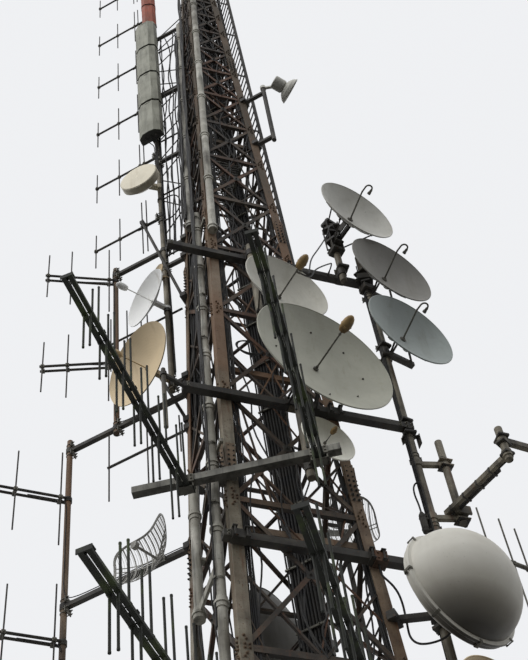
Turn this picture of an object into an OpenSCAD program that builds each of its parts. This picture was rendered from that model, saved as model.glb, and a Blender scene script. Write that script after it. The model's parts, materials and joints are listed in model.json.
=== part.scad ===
/* [Tower] */
// Height of the lattice, from the underside of the base plates
tower_h = 30000; // [20000:500:32000]
// Width over the legs at the ground
base_w = 2180; // [1800:20:2600]
// Width over the legs at the top
top_w = 404; // [380:4:520]
// Width of each flange of the leg angles
leg_w = 120; // [90:5:140]
// Thickness of the leg angles
leg_t = 12; // [8:1:16]
// Side of each square base plate
plate_w = 340; // [300:10:420]
// Thickness of each base plate
plate_t = 25; // [16:1:40]
// Diameter of the anchor holes in the base plates
anchor_d = 28; // [20:1:34]

/* [Bracing] */
// Number of crossed panels up each side
panels = 21; // [16:1:24]
// Width of the crossed bars
brace_w = 50; // [30:5:60]
// Thickness of the bracing angles
brace_t = 6; // [4:1:8]
// Width of the horizontal bars
girt_w = 80; // [50:5:100]

/* [Ladder] */
// Width of the ladder over its rails
ladder_w = 400; // [340:10:420]
// Spacing of the rungs
rung_pitch = 250; // [230:10:300]
// Diameter of the rungs
rung_d = 22; // [18:1:28]
// Depth of the ladder rails
rail_w = 60; // [40:5:70]
// Distance from the tower's side to the ladder at the ground
ladder_gap = 90; // [80:5:120]
// Distance from the tower's side to the ladder at the top
ladder_gap_top = 310; // [250:10:360]

/* [Cross beams] */
// Height and depth of the box beams
beam_w = 90; // [80:5:110]
// Wall of the box beams
beam_t = 6; // [4:1:10]
// Height of the upper cross beam's axis
beam_upper_z = 17100; // [16800:50:17400]
// Height of the middle cross beam's axis
beam_middle_z = 13900; // [13700:50:14100]
// Height of the lower cross beam's axis
beam_lower_z = 11500; // [11300:50:11700]
// Height of the upper antenna beam's axis
yard_upper_z = 12470; // [12300:50:12700]
// Height of the lower antenna beam's axis
yard_lower_z = 8600; // [8300:50:8900]

/* [Poles] */
// Diameter of the antenna poles
pole_d = 90; // [76:2:102]
// Wall of the clamps round the poles
clamp_t = 12; // [8:1:16]
// Height of each clamp
clamp_h = 110; // [80:5:140]

/* [Dishes] */
// Diameter of the upper dish on the right
upper_dish_d = 1120; // [1000:10:1250]
// Diameter of the two dishes below it
dish_d = 1200; // [1000:10:1250]
// Depth of the three dishes on the right
dish_depth = 175; // [120:5:200]
// Diameter of the large dish
large_dish_d = 1680; // [1400:10:1700]
// Depth of the large dish
large_dish_depth = 220; // [180:5:260]
// Diameter of the dish behind it
rear_dish_d = 1090; // [900:10:1200]
// Diameter of the small dish under the middle beam
small_dish_d = 620; // [500:10:660]
// Thickness of the reflectors
skin_t = 6; // [4:1:10]
// Diameter of the covered dish
covered_dish_d = 1225; // [1100:10:1260]
// How far the cover of that dish bulges
cover_bulge = 500; // [300:10:560]
// Diameter of the dish below it
bottom_dish_d = 1000; // [800:10:1100]
// Diameter of the translucent dish on the left mast
white_dish_d = 860; // [700:10:1000]
// Diameter of the cream dish on the left mast
cream_dish_d = 1150; // [900:10:1200]

/* [Antennas] */
// Length of the log periodic antennas
log_l = 2800; // [2400:50:3000]
// Half length of the longest rod on the log periodic antennas
log_rod_l = 950; // [700:10:1000]
// Diameter of those rods
log_rod_d = 22; // [16:1:26]
// Spacing of the stacked yagis on the left mast
stack_pitch = 2055; // [1900:5:2100]
// Height of each panel antenna
panel_h = 1150; // [1000:10:1200]
// Width of each panel antenna
panel_w = 400; // [340:10:440]
// Diameter of the upright rods of the yagis
yagi_rod_d = 20; // [14:1:24]

/* [Hidden] */

// Clearance between pieces that are bolted together
clear = 0.3;
// How far the outer edge of a leg stands out from the middle of its base plate
heel = 35;
// Lean of each side of the tower, in millimetres inward for each millimetre up
batter = (base_w - top_w) / 2 / tower_h;
side_lean = atan(batter);
leg_lean = atan(batter * sqrt(2));
// The tower's centre line stands at x = y = axis
axis = base_w / 2 - heel;
panel_ratio = pow(top_w / base_w, 1 / panels);
colour_steel = "#7d776a";
colour_brown = "#6f5a45";
colour_dark = "#33362f";
colour_green = "#2f3a26";
colour_pale = "#d9d8cf";
colour_grey = "#9aa09a";
colour_cream = "#e2cfa6";

function corner(z) = batter * z - heel;
function level(i) = base_w * (1 - pow(panel_ratio, i)) / 2 / batter;
function mid_level(i) = (level(i) + level(i + 1)) / 2;
function half_w(z) = base_w / 2 - batter * z;

// Turns the front leg and its side round the tower's axis: 0 front, 1 right, 2 back, 3 left
module at_leg(i) {
    translate([axis, axis, 0]) rotate(90 * i) translate([-axis, -axis, 0]) children();
}

// Stands things on a line parallel to the front leg, x and y away from its outer edge, at height z
module along_leg(x, y, z) {
    translate([corner(z) + x, corner(z) + y, z]) rotate([0, leg_lean, 45]) children();
}

// Points local +Z along the direction az, raised by el; local +Y stays level
module facing(p, az, el = 0) {
    translate(p) rotate([0, 90 - el, az]) children();
}

// Round bar from p to q
module rod(p, q, d) {
    v = q - p;
    translate(p) rotate([0, acos(v.z / norm(v)), atan2(v.y, v.x)]) rotate(25)
        cylinder(h = norm(v), d = d, $fn = 24);
}

// Level box bar from p to q at height z, w wide and h high, centred on its line
module level_bar(p, q, w, h, z) {
    v = q - p;
    translate([p.x, p.y, z]) rotate(atan2(v.y, v.x)) translate([0, -w / 2, -h / 2]) cube([norm(v), w, h]);
}

module ring_solid(h = clamp_h, d = pole_d) {
    cylinder(h = h, d = d + 2 * clamp_t, center = true, $fn = 48);
}

module ring_bore(h = clamp_h, d = pole_d) {
    cylinder(h = h + 2, d = d + 2 * clear, center = true, $fn = 48);
}

// Sheared square prism that fills the front leg's outer outline, grown by the clearance
module leg_envelope(z0, z1) {
    s = leg_w;
    pts = [for (z = [z0, z1]) for (p = [[-clear, -clear], [s, -clear], [s, s], [-clear, s]])
        [p.x + corner(z), p.y + corner(z), z]];
    polyhedron(points = pts, faces = [[0, 1, 2, 3], [7, 6, 5, 4], [0, 4, 5, 1], [1, 5, 6, 2],
        [2, 6, 7, 3], [3, 7, 4, 0]], convexity = 2);
}

module leg() {
    profile = [[0, 0], [leg_w, 0], [leg_w, leg_t], [leg_t, leg_t], [leg_t, leg_w], [0, leg_w]];
    n = len(profile);
    pts = [for (z = [plate_t, tower_h]) for (p = profile) [p.x + corner(z), p.y + corner(z), z]];
    sides = [for (i = [0:n - 1]) [i, i + n, (i + 1) % n + n, (i + 1) % n]];
    color(colour_brown) {
        polyhedron(points = pts, faces = concat([[for (i = [0:n - 1]) i]],
            [[for (i = [n - 1:-1:0]) i + n]], sides), convexity = 4);
        base_plate();
    }
}

module base_plate() {
    pitch = plate_w - 80;
    difference() {
        translate([-plate_w / 2, -plate_w / 2, 0]) cube([plate_w, plate_w, plate_t]);
        for (x = [-1, 1], y = [-1, 1])
            translate([x * pitch / 2, y * pitch / 2, -1])
                cylinder(h = plate_t + 2, d = anchor_d, $fn = 32);
    }
}

// Flat bar in a side's own plane, from p to q
module flat_bar(p, q, w) {
    v = q - p;
    translate(p) rotate(atan2(v.y, v.x)) translate([0, -w / 2]) square([norm(v), w]);
}

function on_side(z, side, inset) = [side * (half_w(z) - inset), z / cos(side_lean)];
function girt_z(i) = i == 0 ? plate_t + 125 : i == panels ? tower_h - girt_w / 2 - 10 : level(i);

// The bars of one side as outlines: kind 0 the flanges, kind 1 the webs
module side_outline(kind) {
    reach = kind == 0 ? leg_t + brace_t + 30 : leg_w + 10;
    for (i = [0:panels]) {
        z = girt_z(i);
        drop = kind == 0 ? 0 : girt_w / 2 - brace_t / 2;
        flat_bar(on_side(z, -1, kind == 0 ? leg_t + brace_t + 6 : reach) - [0, drop],
            on_side(z, 1, kind == 0 ? leg_t + brace_t + 6 : reach) - [0, drop],
            kind == 0 ? girt_w : brace_t);
    }
    for (i = [0:panels - 1], s = [-1, 1]) {
        a = on_side(girt_z(i), -s, leg_t + brace_t + 30);
        b = on_side(girt_z(i + 1), s, leg_t + brace_t + 30);
        u = (b - a) / norm(b - a);
        cut = kind == 0 ? 0 : leg_w;
        flat_bar(a + u * cut, b - u * cut, kind == 0 ? brace_w : brace_t);
    }
}

module bracing() {
    color(colour_steel)
        translate([axis, -heel + leg_t + clear, 0]) rotate([90 - side_lean, 0, 0]) {
            translate([0, 0, -brace_t]) linear_extrude(brace_t) side_outline(0);
            translate([0, 0, -brace_w]) linear_extrude(brace_w - brace_t + 1) side_outline(1);
        }
}

module top_plate() {
    color(colour_steel) translate([axis, axis, tower_h]) {
        translate([-top_w / 2, -top_w / 2, 0]) cube([top_w, top_w, 10]);
        cylinder(h = 500, d = 60, $fn = 32);
        cylinder(h = 1500, d = 24, $fn = 24);
        translate([0, 0, 1500]) cylinder(h = 120, d1 = 24, d2 = 2, $fn = 24);
    }
}

// The ladder stands outside the right side, its rungs level and along that side
ladder_lean = atan(batter - (ladder_gap_top - ladder_gap) / tower_h);
ladder_top = tower_h - 300;
function ladder_y(z) = corner(z) - ladder_gap - (ladder_gap_top - ladder_gap) * z / tower_h;

module ladder() {
    rail_l = ladder_top / cos(ladder_lean);
    color(colour_dark) at_leg(1) {
        translate([axis, ladder_y(0), 0]) rotate([-ladder_lean, 0, 0]) {
            for (s = [-1, 1])
                translate([s * (ladder_w / 2 - 4) - 4, -rail_w / 2, 20]) cube([8, rail_w, rail_l]);
            for (z = [300:rung_pitch:rail_l - 100])
                translate([-ladder_w / 2 + 4, 0, z]) rotate([0, 90, 0])
                    cylinder(h = ladder_w - 8, d = rung_d, $fn = 24);
        }
        for (i = [1:2:panels - 2]) ladder_bracket(mid_level(i));
    }
}

// Strap across the side's two legs with an arm out to each rail
module ladder_bracket(z) {
    strap_h = 50;
    strap_t = 8;
    y = corner(z - strap_h / 2) - clear - strap_t;
    translate([corner(z) + 10, y, z - strap_h / 2]) cube([2 * half_w(z) - 20, strap_t, strap_h]);
    for (s = [-1, 1])
        translate([axis + s * (ladder_w / 2 - 4) - 6, ladder_y(z), z - strap_h / 2])
            cube([12, y + 1 - ladder_y(z), strap_h]);
}

tray_w = 340;
tray_in = 240;
feeder_d = 34;
feeders = 8;

module cable_ladder() {
    z0 = 600;
    z1 = tower_h - 3500;
    l = (z1 - z0) / cos(leg_lean);
    color(colour_dark) at_leg(2) {
        along_leg(tray_in, tray_in, z0) {
            for (s = [-1, 1]) translate([-20, s * tray_w / 2 - 4, 0]) cube([40, 8, l]);
            for (z = [200:900:l - 100]) translate([-20, -tray_w / 2, z]) cube([8, tray_w, 40]);
        }
        for (i = [1:2:panels - 8]) tray_bracket(mid_level(i));
    }
}

// Tongue from the tray into the inner heel of the leg angle
module tray_bracket(z) {
    heel_s = (leg_t + clear) * sqrt(2) + 4;
    reach = tray_in * sqrt(2) - 18;
    translate([corner(z), corner(z), z]) rotate([0, leg_lean, 45]) {
        translate([heel_s, -4, -25]) cube([reach - heel_s, 8, 50]);
        translate([reach - 8, -tray_w / 2, -25]) cube([8, tray_w, 50]);
    }
}

module feeder_cables() {
    z0 = 150;
    z1 = tower_h - 3600;
    pitch = feeder_d + 4;
    nest = sqrt(pow(feeder_d + 2 * clear, 2) - pow(pitch / 2, 2));
    color("#16171a") at_leg(2) along_leg(tray_in, tray_in, z0)
        for (row = [0, 1], i = [0:feeders - 1 - row])
            translate([-12 + clear + feeder_d / 2 + row * nest, (i - (feeders - 1 - row) / 2) * pitch, 0])
                cylinder(h = (z1 - z0) / cos(leg_lean) - 600 * (i % 3) - 1500 * row, d = feeder_d, $fn = 24);
}

conduit_d = 104;

// Length of pipe with a sleeve and a flange at each joint, standing on local z = 0
module jointed_pipe(l, pitch) {
    cylinder(h = l, d = conduit_d, $fn = 32);
    for (z = [0:pitch:l - 140]) translate([0, 0, z]) {
        cylinder(h = 140, d = conduit_d + 20, $fn = 32);
        translate([0, 0, 55]) cylinder(h = 30, d = conduit_d + 44, $fn = 32);
    }
}

// Pipes outside the left side and in front of the front leg
module conduit() {
    out = 75;
    z_top = tower_h - 1100;
    front_z0 = beam_upper_z + 600;
    color(colour_grey) {
        along_leg(-out, 200, 300) jointed_pipe(18300, 1045);
        for (i = [2, 5, 8]) conduit_clip(mid_level(i), out);
        side_pipe(out, level(5) - 870, level(5) + 1250, 900, [5]);
        translate([corner(level(5)) - out - 35, corner(level(5)) + 170, level(5) - 800])
            cube([30, 730, 90]);
        side_pipe(out, level(8) + 1300, 27100, 500, [10, 13, 16]);
        along_leg(50, -out, front_z0) jointed_pipe((z_top - front_z0) / cos(leg_lean), 1500);
        for (i = [10, 13, 16]) front_clip(mid_level(i), out);
    }
}

// Pipe outside the left side, y away from the front leg's edge, clipped to the horizontal bars listed
module side_pipe(out, z0, z1, y, bars) {
    along_leg(-out, y, z0) jointed_pipe((z1 - z0) / cos(leg_lean), 1500);
    for (i = bars) difference() {
        translate([corner(level(i)) - out, corner(level(i)) + y - 40, level(i) - 20])
            cube([out + leg_t - 20 * batter, 80, 40]);
        at_leg(3) leg_envelope(level(i) - 60, level(i) + 60);
    }
}

module front_clip(z, out) {
    translate([corner(z) + 10, corner(z) - out, z - 25]) cube([80, out - clear - 25 * batter, 50]);
}

module conduit_clip(z, out) {
    translate([corner(z) - out + conduit_d / 2 - 14, corner(z - 25) + 20, z - 25])
        cube([out - conduit_d / 2 + 14 - clear - 25 * batter, 190, 50]);
}

// Box beam along the front side, its back on the two front legs
module cross_beam(z, x0, x1, rings) {
    y1 = beam_back(z);
    difference() {
        union() {
            difference() {
                translate([x0, y1 - beam_w, z - beam_w / 2]) cube([x1 - x0, beam_w, beam_w]);
                translate([x0 - 1, y1 - beam_w + beam_t, z - beam_w / 2 + beam_t])
                    cube([x1 - x0 + 2, beam_w - 2 * beam_t, beam_w - 2 * beam_t]);
            }
            for (p = rings) {
                translate([p.x, p.y, z]) ring_solid();
                ring_block(p, y1, z);
            }
        }
        for (p = rings) translate([p.x, p.y, z]) ring_bore();
    }
}

function beam_back(z) = corner(z - beam_w / 2) - clear;

// Plates bolted round the beam where it crosses a front leg, centred at x
module beam_saddle(z, x) {
    w = 170;
    t = 14;
    y1 = beam_back(z);
    for (h = [-beam_w / 2 - t, beam_w / 2]) translate([x - w / 2, y1 - beam_w - t, z + h])
        cube([w, beam_w + t - 1, t]);
    translate([x - w / 2, y1 - beam_w - t, z - beam_w / 2 - 1]) cube([w, t + 1, beam_w + 2]);
    for (s = [-1, 1]) translate([x + s * 60, y1 - beam_w - t - 22, z - beam_w / 2 - t - 22])
        cylinder(h = beam_w + 2 * t + 44, d = 20, $fn = 16);
    for (s = [-1, 1], h = [-beam_w / 2 - t - 12, beam_w / 2 + t])
        translate([x + s * 60 - 25, y1 - beam_w - t - 40, z + h]) cube([50, 60, 12]);
}

function saddle_x(z) = [corner(z) + leg_w / 2, 2 * axis - corner(z) - leg_w / 2];

// Block that joins a clamp to the beam beside it
module ring_block(p, y1, z) {
    y0 = min(p.y, y1 - beam_w);
    translate([p.x - 50, y0, z - clamp_h / 2]) cube([100, max(p.y, y1) - y0, clamp_h]);
}

pole_out = pole_d / 2 + clamp_t + 3;
main_pole = [2560, 360];
stub_upper = [2230, beam_back(beam_upper_z) - beam_w - pole_out];
stub_inner = [977, beam_back(beam_upper_z) - beam_w - pole_out];
small_z = 12850;
front_pole_end = small_z - 220;
front_pole = [1240, corner(front_pole_end) - pole_d / 2 - 3];
beam_middle_end = -60;
end_stub = [-310, 205];
end_stub_d = 50;
cover_pole = [2220, beam_back(beam_lower_z) - beam_w - pole_out];

module beam_upper() {
    color(colour_dark) {
        cross_beam(beam_upper_z, -100, main_pole.x - 20, [main_pole, stub_upper, stub_inner]);
        beam_saddle(beam_upper_z, saddle_x(beam_upper_z)[1]);
        translate([2050, beam_back(beam_upper_z) - beam_w + 3, beam_upper_z - 20]) rotate([90, 0, 0])
            cylinder(h = gland_l, d = gland_d, $fn = 24);
    }
}

module beam_middle() {
    color(colour_dark) {
        cross_beam(beam_middle_z, beam_middle_end, main_pole.x - 20, [main_pole]);
        beam_saddle(beam_middle_z, saddle_x(beam_middle_z)[1]);
        difference() {
            union() {
                level_bar([beam_middle_end + 4, beam_back(beam_middle_z) - beam_w + 20], end_stub,
                    40, 40, beam_middle_z - 30);
                translate([end_stub.x, end_stub.y, beam_middle_z - 30]) ring_solid(60, end_stub_d);
            }
            translate([end_stub.x, end_stub.y, beam_middle_z - 30]) ring_bore(60, end_stub_d);
        }
    }
}

module beam_lower() {
    color(colour_dark) {
        cross_beam(beam_lower_z, 200, main_pole.x + 260, [main_pole, cover_pole]);
        for (x = saddle_x(beam_lower_z)) beam_saddle(beam_lower_z, x);
        translate([saddle_x(beam_lower_z)[1] + 20, beam_back(beam_lower_z) - 50,
            beam_lower_z - beam_w / 2 - 12 - gland_l])
            cylinder(h = gland_l, d = gland_d, $fn = 24);
    }
}

// Square tubes across the front side, behind its crossed bars
front_bar_z = [11800, 14620, 21030];

module front_bars() {
    w = 46;
    h = 90;
    inset = leg_t + clear + h / 2 * batter;
    color("#8a7a5c") for (z = front_bar_z)
        translate([corner(z) + inset, corner(z) + leg_t + brace_w + 6, z - h / 2])
            cube([2 * (half_w(z) - inset), w, h]);
}

// Beam across the front leg that carries two log periodic antennas
yard_az = -28;
yard_left = 960;
yard_right = 1180;

module at_yard(z) {
    c = corner(z - beam_w / 2);
    translate([c, c, z]) rotate(yard_az) children();
}

module yard(z) {
    color(colour_grey) difference() {
        at_yard(z) translate([-yard_left, -beam_w - 4, -beam_w / 2]) difference() {
            cube([yard_left + yard_right, beam_w, beam_w]);
            translate([-1, beam_t, beam_t])
                cube([yard_left + yard_right + 2, beam_w - 2 * beam_t, beam_w - 2 * beam_t]);
        }
        leg_envelope(z - beam_w, z + beam_w);
    }
    color(colour_grey) yard_saddle(z);
}

// V block between the beam and the leg's outer edge
module yard_saddle(z) {
    difference() {
        at_yard(z) translate([-90, -5, -45]) cube([180, 75, 90]);
        leg_envelope(z - beam_w, z + beam_w);
    }
}

boom_w = 40;
boom_gap = 24;

// Twin boom with pairs of rods that stand up and hang down by turns;
// its root reaches "root" behind the middle of the beam
module log_antenna(z, u, az, root = 80) {
    ratio = 0.965;
    n = 12;
    first = 0.085 * log_l;
    color(colour_green) at_yard(z) translate([u, -beam_w / 2 - 4, -beam_w / 2 - clear]) log_clamp();
    color(colour_green) at_yard(z) translate([u, -beam_w / 2 - 4, -beam_w / 2 - 26 - boom_w / 2 - clear])
        rotate(az - yard_az) translate([-root, 0, 0]) {
            for (s = [-1, 1])
                translate([0, s * (boom_gap + boom_w) / 2 - boom_w / 2, -boom_w / 2])
                    cube([log_l, boom_w, boom_w]);
            for (x = [20, log_l / 4, log_l / 2, log_l * 3 / 4, log_l - 60])
                translate([x, -boom_gap / 2 - boom_w - 8, -boom_w / 2 - 8])
                    cube([50, boom_gap + 2 * boom_w + 16, boom_w + 16]);
            for (i = [0:n - 1], s = [-1, 1]) {
                x = 160 + first * (1 - pow(ratio, i)) / (1 - ratio);
                up = i % 2 == 0;
                l = log_rod_l * pow(ratio, i) * (up ? 1 : 0.85);
                translate([x, s * (boom_gap + boom_w) / 2, up ? 0 : -l])
                    cylinder(h = l, d = log_rod_d, $fn = 16);
            }
        }
}

// Channel under the beam that the boom's root is bolted to, with a plate up the front of the beam
module log_clamp() {
    w = 190;
    translate([-w / 2, -beam_w / 2 - 16, -30]) cube([w, beam_w + 16, 30]);
    translate([-w / 2, -beam_w / 2 - clear - 16, -30]) cube([w, 16, beam_w + 20]);
}

module pole(p, z0, z1, d = pole_d) {
    translate([p.x, p.y, z0]) cylinder(h = z1 - z0, d = d, $fn = 48);
}

module dish_pole() {
    color(colour_steel) pole(main_pole, beam_lower_z - 700, beam_upper_z + 600);
}

module stub_poles() {
    flange_t = 12;
    under = beam_middle_z - beam_w / 2 - clear;
    color(colour_steel) {
        pole(stub_upper, beam_upper_z - 190, dish_upper_z + 220);
        pole(stub_inner, rear_large_z - 250, beam_upper_z + 200);
        pole(front_pole, front_pole_end, under - 1);
        translate([front_pole.x - 100, beam_back(beam_middle_z) - beam_w, under - flange_t])
            cube([200, beam_w, flange_t]);
        pole(end_stub, beam_middle_z - 960, beam_middle_z + 60, end_stub_d);
        pole(cover_pole, bottom_z - 300, beam_lower_z + 150);
    }
}

side_pole_p = [2867, 300];
side_arms = [12410, 13290];
end_pole = [3050, -560];
end_pole_top = 12900;

// Pole beside the main one on two arms, with a long channel out to a short pole at its end
module side_pole() {
    reach = 420;
    arm_z = end_pole_top - 200;
    z = side_arms[0] + 70;
    start = main_pole + (side_pole_p - main_pole) * 0.5;
    color(colour_steel) {
        pole(side_pole_p, side_arms[0] - 80, side_arms[1] + 400, pole_d - 4);
        difference() {
            union() for (h = side_arms) {
                level_bar(main_pole, side_pole_p, 50, 60, h);
                translate([main_pole.x, main_pole.y, h]) ring_solid(90);
                translate([side_pole_p.x - 75, side_pole_p.y - 65, h - 50]) cube([150, 130, 14]);
                translate([side_pole_p.x - 75, side_pole_p.y - 65, h + 36]) cube([150, 130, 14]);
            }
            for (h = side_arms) translate([main_pole.x, main_pole.y, h]) ring_bore(90);
        }
        level_bar(start, end_pole, 45, 64, z);
        translate([side_pole_p.x - 95, side_pole_p.y - 80, z - 60]) cube([190, 22, 120]);
        pole(end_pole, z - 90, end_pole_top, pole_d - 4);
        for (h = [z, arm_z]) translate([end_pole.x, end_pole.y, h]) ring_solid(90, pole_d - 4);
        level_bar(end_pole, end_pole + [reach, 40], 60, 70, arm_z);
        translate([end_pole.x + reach - 10, end_pole.y - 20, arm_z - 60]) cube([14, 120, 120]);
    }
}

// Small yagi clamped to the main pole, behind the covered dish
module right_yagi() {
    z = 12150;
    az = 12;
    color(colour_steel) yagi(main_pole, z, az, 1250, false, [[680, 1500], [960, 1400], [1150, 1250]],
        pole_d, 50);
}

// Shallow parabolic shell with a turned rim, its vertex at the origin and its mouth towards +Z
module reflector(d, depth) {
    n = 14;
    r = d / 2;
    inner = [for (i = [0:n]) [r * i / n, depth * pow(i / n, 2)]];
    rim = [[r + skin_t, depth + 3], [r + 1.5 * skin_t, depth - skin_t],
        [r + skin_t / 2, depth - 2.5 * skin_t]];
    outer = [for (i = [n:-1:0]) [r * i / n, depth * pow(i / n, 2) - skin_t]];
    rotate_extrude($fn = 96) polygon(concat(inner, rim, outer));
}

dish_az = -75;
dish_off = 260;
upper_off = 400;
dish_side = 85;

// Point s ahead of p in the direction az and side to its right, at height z
function vertex(p, z, s, az, side = 0) =
    [p.x + s * cos(az) - side * sin(az), p.y + s * sin(az) + side * cos(az), z];

dish_upper_z = 17910;
dish_middle_z = 16839;
dish_lower_z = 15448;
large_az = -77;
large_z = 13905;
large_v = [1285, -200, large_z];
rear_large_z = 15469;
rear_off = 405;
small_off = 310;
cover_az = -71;
cover_z = 10800;
cover_off = 150;
bottom_z = 9380;
bottom_off = 230;

module hung_dish(v, d, depth, az) {
    facing(v, az) reflector(d, depth);
}

upper_v = vertex(stub_upper, dish_upper_z, upper_off, dish_az);
middle_v = vertex(main_pole, dish_middle_z, dish_off, dish_az, dish_side);
lower_v = vertex(main_pole, dish_lower_z, dish_off, dish_az, dish_side);
rear_v = vertex(stub_inner, rear_large_z, rear_off, large_az);
small_v = vertex(front_pole, small_z, small_off, large_az);
cover_v = vertex(cover_pole, cover_z, cover_off, cover_az);
bottom_v = vertex(cover_pole, bottom_z, bottom_off, cover_az, 50);

module dish_upper() {
    color(colour_pale) hung_dish(upper_v, upper_dish_d, dish_depth, dish_az);
}

module dish_middle() {
    color(colour_pale) hung_dish(middle_v, dish_d, dish_depth, dish_az);
}

module dish_lower() {
    color("#b9c4c6") hung_dish(lower_v, dish_d, dish_depth, dish_az);
}

module large_dish() {
    color(colour_pale) hung_dish(large_v, large_dish_d, large_dish_depth, large_az);
}

module rear_large_dish() {
    color(colour_pale) hung_dish(rear_v, rear_dish_d, 200, large_az);
}

module small_dish() {
    color(colour_pale) hung_dish(small_v, small_dish_d, 80, large_az);
}

module bottom_dish() {
    color(colour_cream) hung_dish(bottom_v, bottom_dish_d, dish_depth, cover_az);
}

// Drum with a domed cover over its mouth, held by hooks round the rim
module covered_dish() {
    r = covered_dish_d / 2;
    drum_h = 180;
    rim = 22;
    n = 14;
    dome = [for (i = [0:n]) [(r - 20) * cos(90 * i / n), drum_h + cover_bulge * sin(90 * i / n)]];
    color("#ece9e0") facing(cover_v, cover_az) {
        rotate_extrude($fn = 96) polygon(concat([[0, 0], [r * 0.75, 0], [r, 90], [r, drum_h - 45],
            [r + rim, drum_h - 35], [r + rim, drum_h - 5], [r + rim - 8, drum_h]], dome));
        for (a = [5:45:320]) rotate(a) translate([r + rim - 4, -16, drum_h - 75]) {
            cube([24, 32, 80]);
            translate([-16, 0, 70]) cube([40, 32, 14]);
        }
    }
}

// Tube that leans beside the dish's axis and hooks back onto it, with a small horn at the focus
module hook_feed() {
    side = 95;
    rise = 430;
    top = 515;
    tube = 22;
    translate([0, 0, clear]) cylinder(h = 20, d = 80, $fn = 24);
    rod([0, 0, clear + 5], [0, -side, rise], tube);
    translate([0, -side, rise]) sphere(d = tube + 3, $fn = 32);
    translate([0, -side, rise]) cylinder(h = top - rise, d = tube, $fn = 24);
    translate([0, -side / 2, top]) rotate([90, 0, 90]) rotate_extrude(angle = 180, $fn = 48)
        translate([side / 2, 0]) circle(d = tube - 2, $fn = 24);
    translate([0, 0, top - 70]) cylinder(h = 70, d = 46, $fn = 24);
}

// Straight tube with an egg-shaped cover over the horn at the focus
module cup_feed(l, cup) {
    h = 1.8 * cup;
    outline = [[0, 0], [0.32, 0.04], [0.44, 0.2], [0.5, 0.42],
        [0.46, 0.66], [0.34, 0.86], [0.16, 0.97], [0, 1]];
    translate([0, 0, clear]) cylinder(h = l, d = 0.16 * cup, $fn = 24);
    translate([0, 0, clear]) cylinder(h = 20, d = 0.45 * cup, $fn = 24);
    translate([0, 0, l - 10]) rotate_extrude($fn = 48) polygon([for (p = outline) [p.x * cup, p.y * h]]);
}

rear_feed_l = 465;
gland_l = 60;
gland_d = 26;
jumper_glands = [22, 58];

// How far a round foot has to stand off a dish's vertex for its edge to clear the curve
function lift(d, depth, foot) = depth * foot / d * max(foot / d, 1 / 14);

module dish_feeds() {
    color(colour_dark) {
        facing(upper_v, dish_az) translate([0, 0, lift(upper_dish_d, dish_depth, 80)]) hook_feed();
        facing(middle_v, dish_az) translate([0, 0, lift(dish_d, dish_depth, 80)]) hook_feed();
        facing(lower_v, dish_az) translate([0, 0, lift(dish_d, dish_depth, 80)]) hook_feed();
    }
    color("#c9a468") {
        facing(large_v, large_az) translate([0, 0, lift(large_dish_d, large_dish_depth, 57)])
            cup_feed(560, 125);
        facing(rear_v, large_az) translate([0, 0, lift(rear_dish_d, 200, 52)]) {
            cup_feed(rear_feed_l, 115);
            for (z = jumper_glands) translate([0, 0, rear_feed_l - z]) rotate([-90, 0, 0])
                cylinder(h = gland_l, d = gland_d, $fn = 24);
        }
        facing(small_v, large_az) translate([0, 0, lift(small_dish_d, 80, 27)]) cup_feed(150, 60);
        facing(bottom_v, cover_az) translate([0, 0, lift(bottom_dish_d, dish_depth, 50)])
            cup_feed(330, 110);
    }
}

// Pole clamp with a box arm out to a round plate behind the dish
module dish_mount(p, z, s, az, plate) {
    back = s - skin_t - clear;
    difference() {
        union() {
            translate([p.x, p.y, z]) ring_solid(220);
            facing([p.x, p.y, z], az) {
                for (y = [-1, 1]) translate([-70, y * 38 - 6, 0]) cube([140, 12, back - 20]);
                translate([-45, -38, back - 60]) cube([90, 76, 40]);
                translate([0, 0, back - 30]) cylinder(h = 30, d = plate, $fn = 32);
            }
        }
        translate([p.x, p.y, z]) ring_bore(240);
    }
}

// Glands for the jumper cables, on the upper dish's bracket and under the covered dish's bracket
module mount_glands() {
    facing([stub_upper.x, stub_upper.y, dish_upper_z], dish_az)
        translate([40, -40, 200]) rotate([90, 0, 0]) cylinder(h = gland_l, d = gland_d, $fn = 24);
    facing([cover_pole.x, cover_pole.y, cover_z], cover_az)
        translate([40, 0, 100]) rotate([0, 90, 0]) cylinder(h = gland_l, d = gland_d, $fn = 24);
}

// Pole clamp with a level bar behind the dish and four struts out to its hub
module strut_mount(p, z, s, az, side) {
    back = s - skin_t - clear;
    bar_l = 420;
    hub = 260;
    difference() {
        union() {
            translate([p.x, p.y, z]) ring_solid(170);
            facing([p.x, p.y, z], az) {
                translate([-35, 0, -35]) cube([70, bar_l, 70]);
                for (x = [-1, 1]) {
                    rod([x * 20, 75, 20], [x * 60, side - 60, back - 12], 26);
                    rod([x * 20, bar_l - 30, 20], [x * 60, side + 70, back - 12], 26);
                }
                translate([0, side, back - 25]) cylinder(h = 25, d = hub, $fn = 32);
            }
        }
        translate([p.x, p.y, z]) ring_bore(190);
    }
}

// Plate on the front of the middle beam with four struts out to the large dish's hub
module beam_mount() {
    y = beam_back(beam_middle_z) - beam_w - clear;
    hub_d = 320;
    hub_t = 30;
    behind = skin_t + clear + hub_t / 2;
    translate([large_v.x - 200, y - 14, large_z - 45]) cube([400, 14, 125]);
    facing(large_v, large_az) translate([0, 0, -behind - hub_t / 2])
        cylinder(h = hub_t, d = hub_d, $fn = 32);
    for (x = [-1, 1], dz = [-28, 60]) {
        q = vertex(large_v, large_z + dz, -behind, large_az, x * 90);
        rod([large_v.x + x * 160, y - 8, large_z + dz], q, 28);
    }
}

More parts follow.
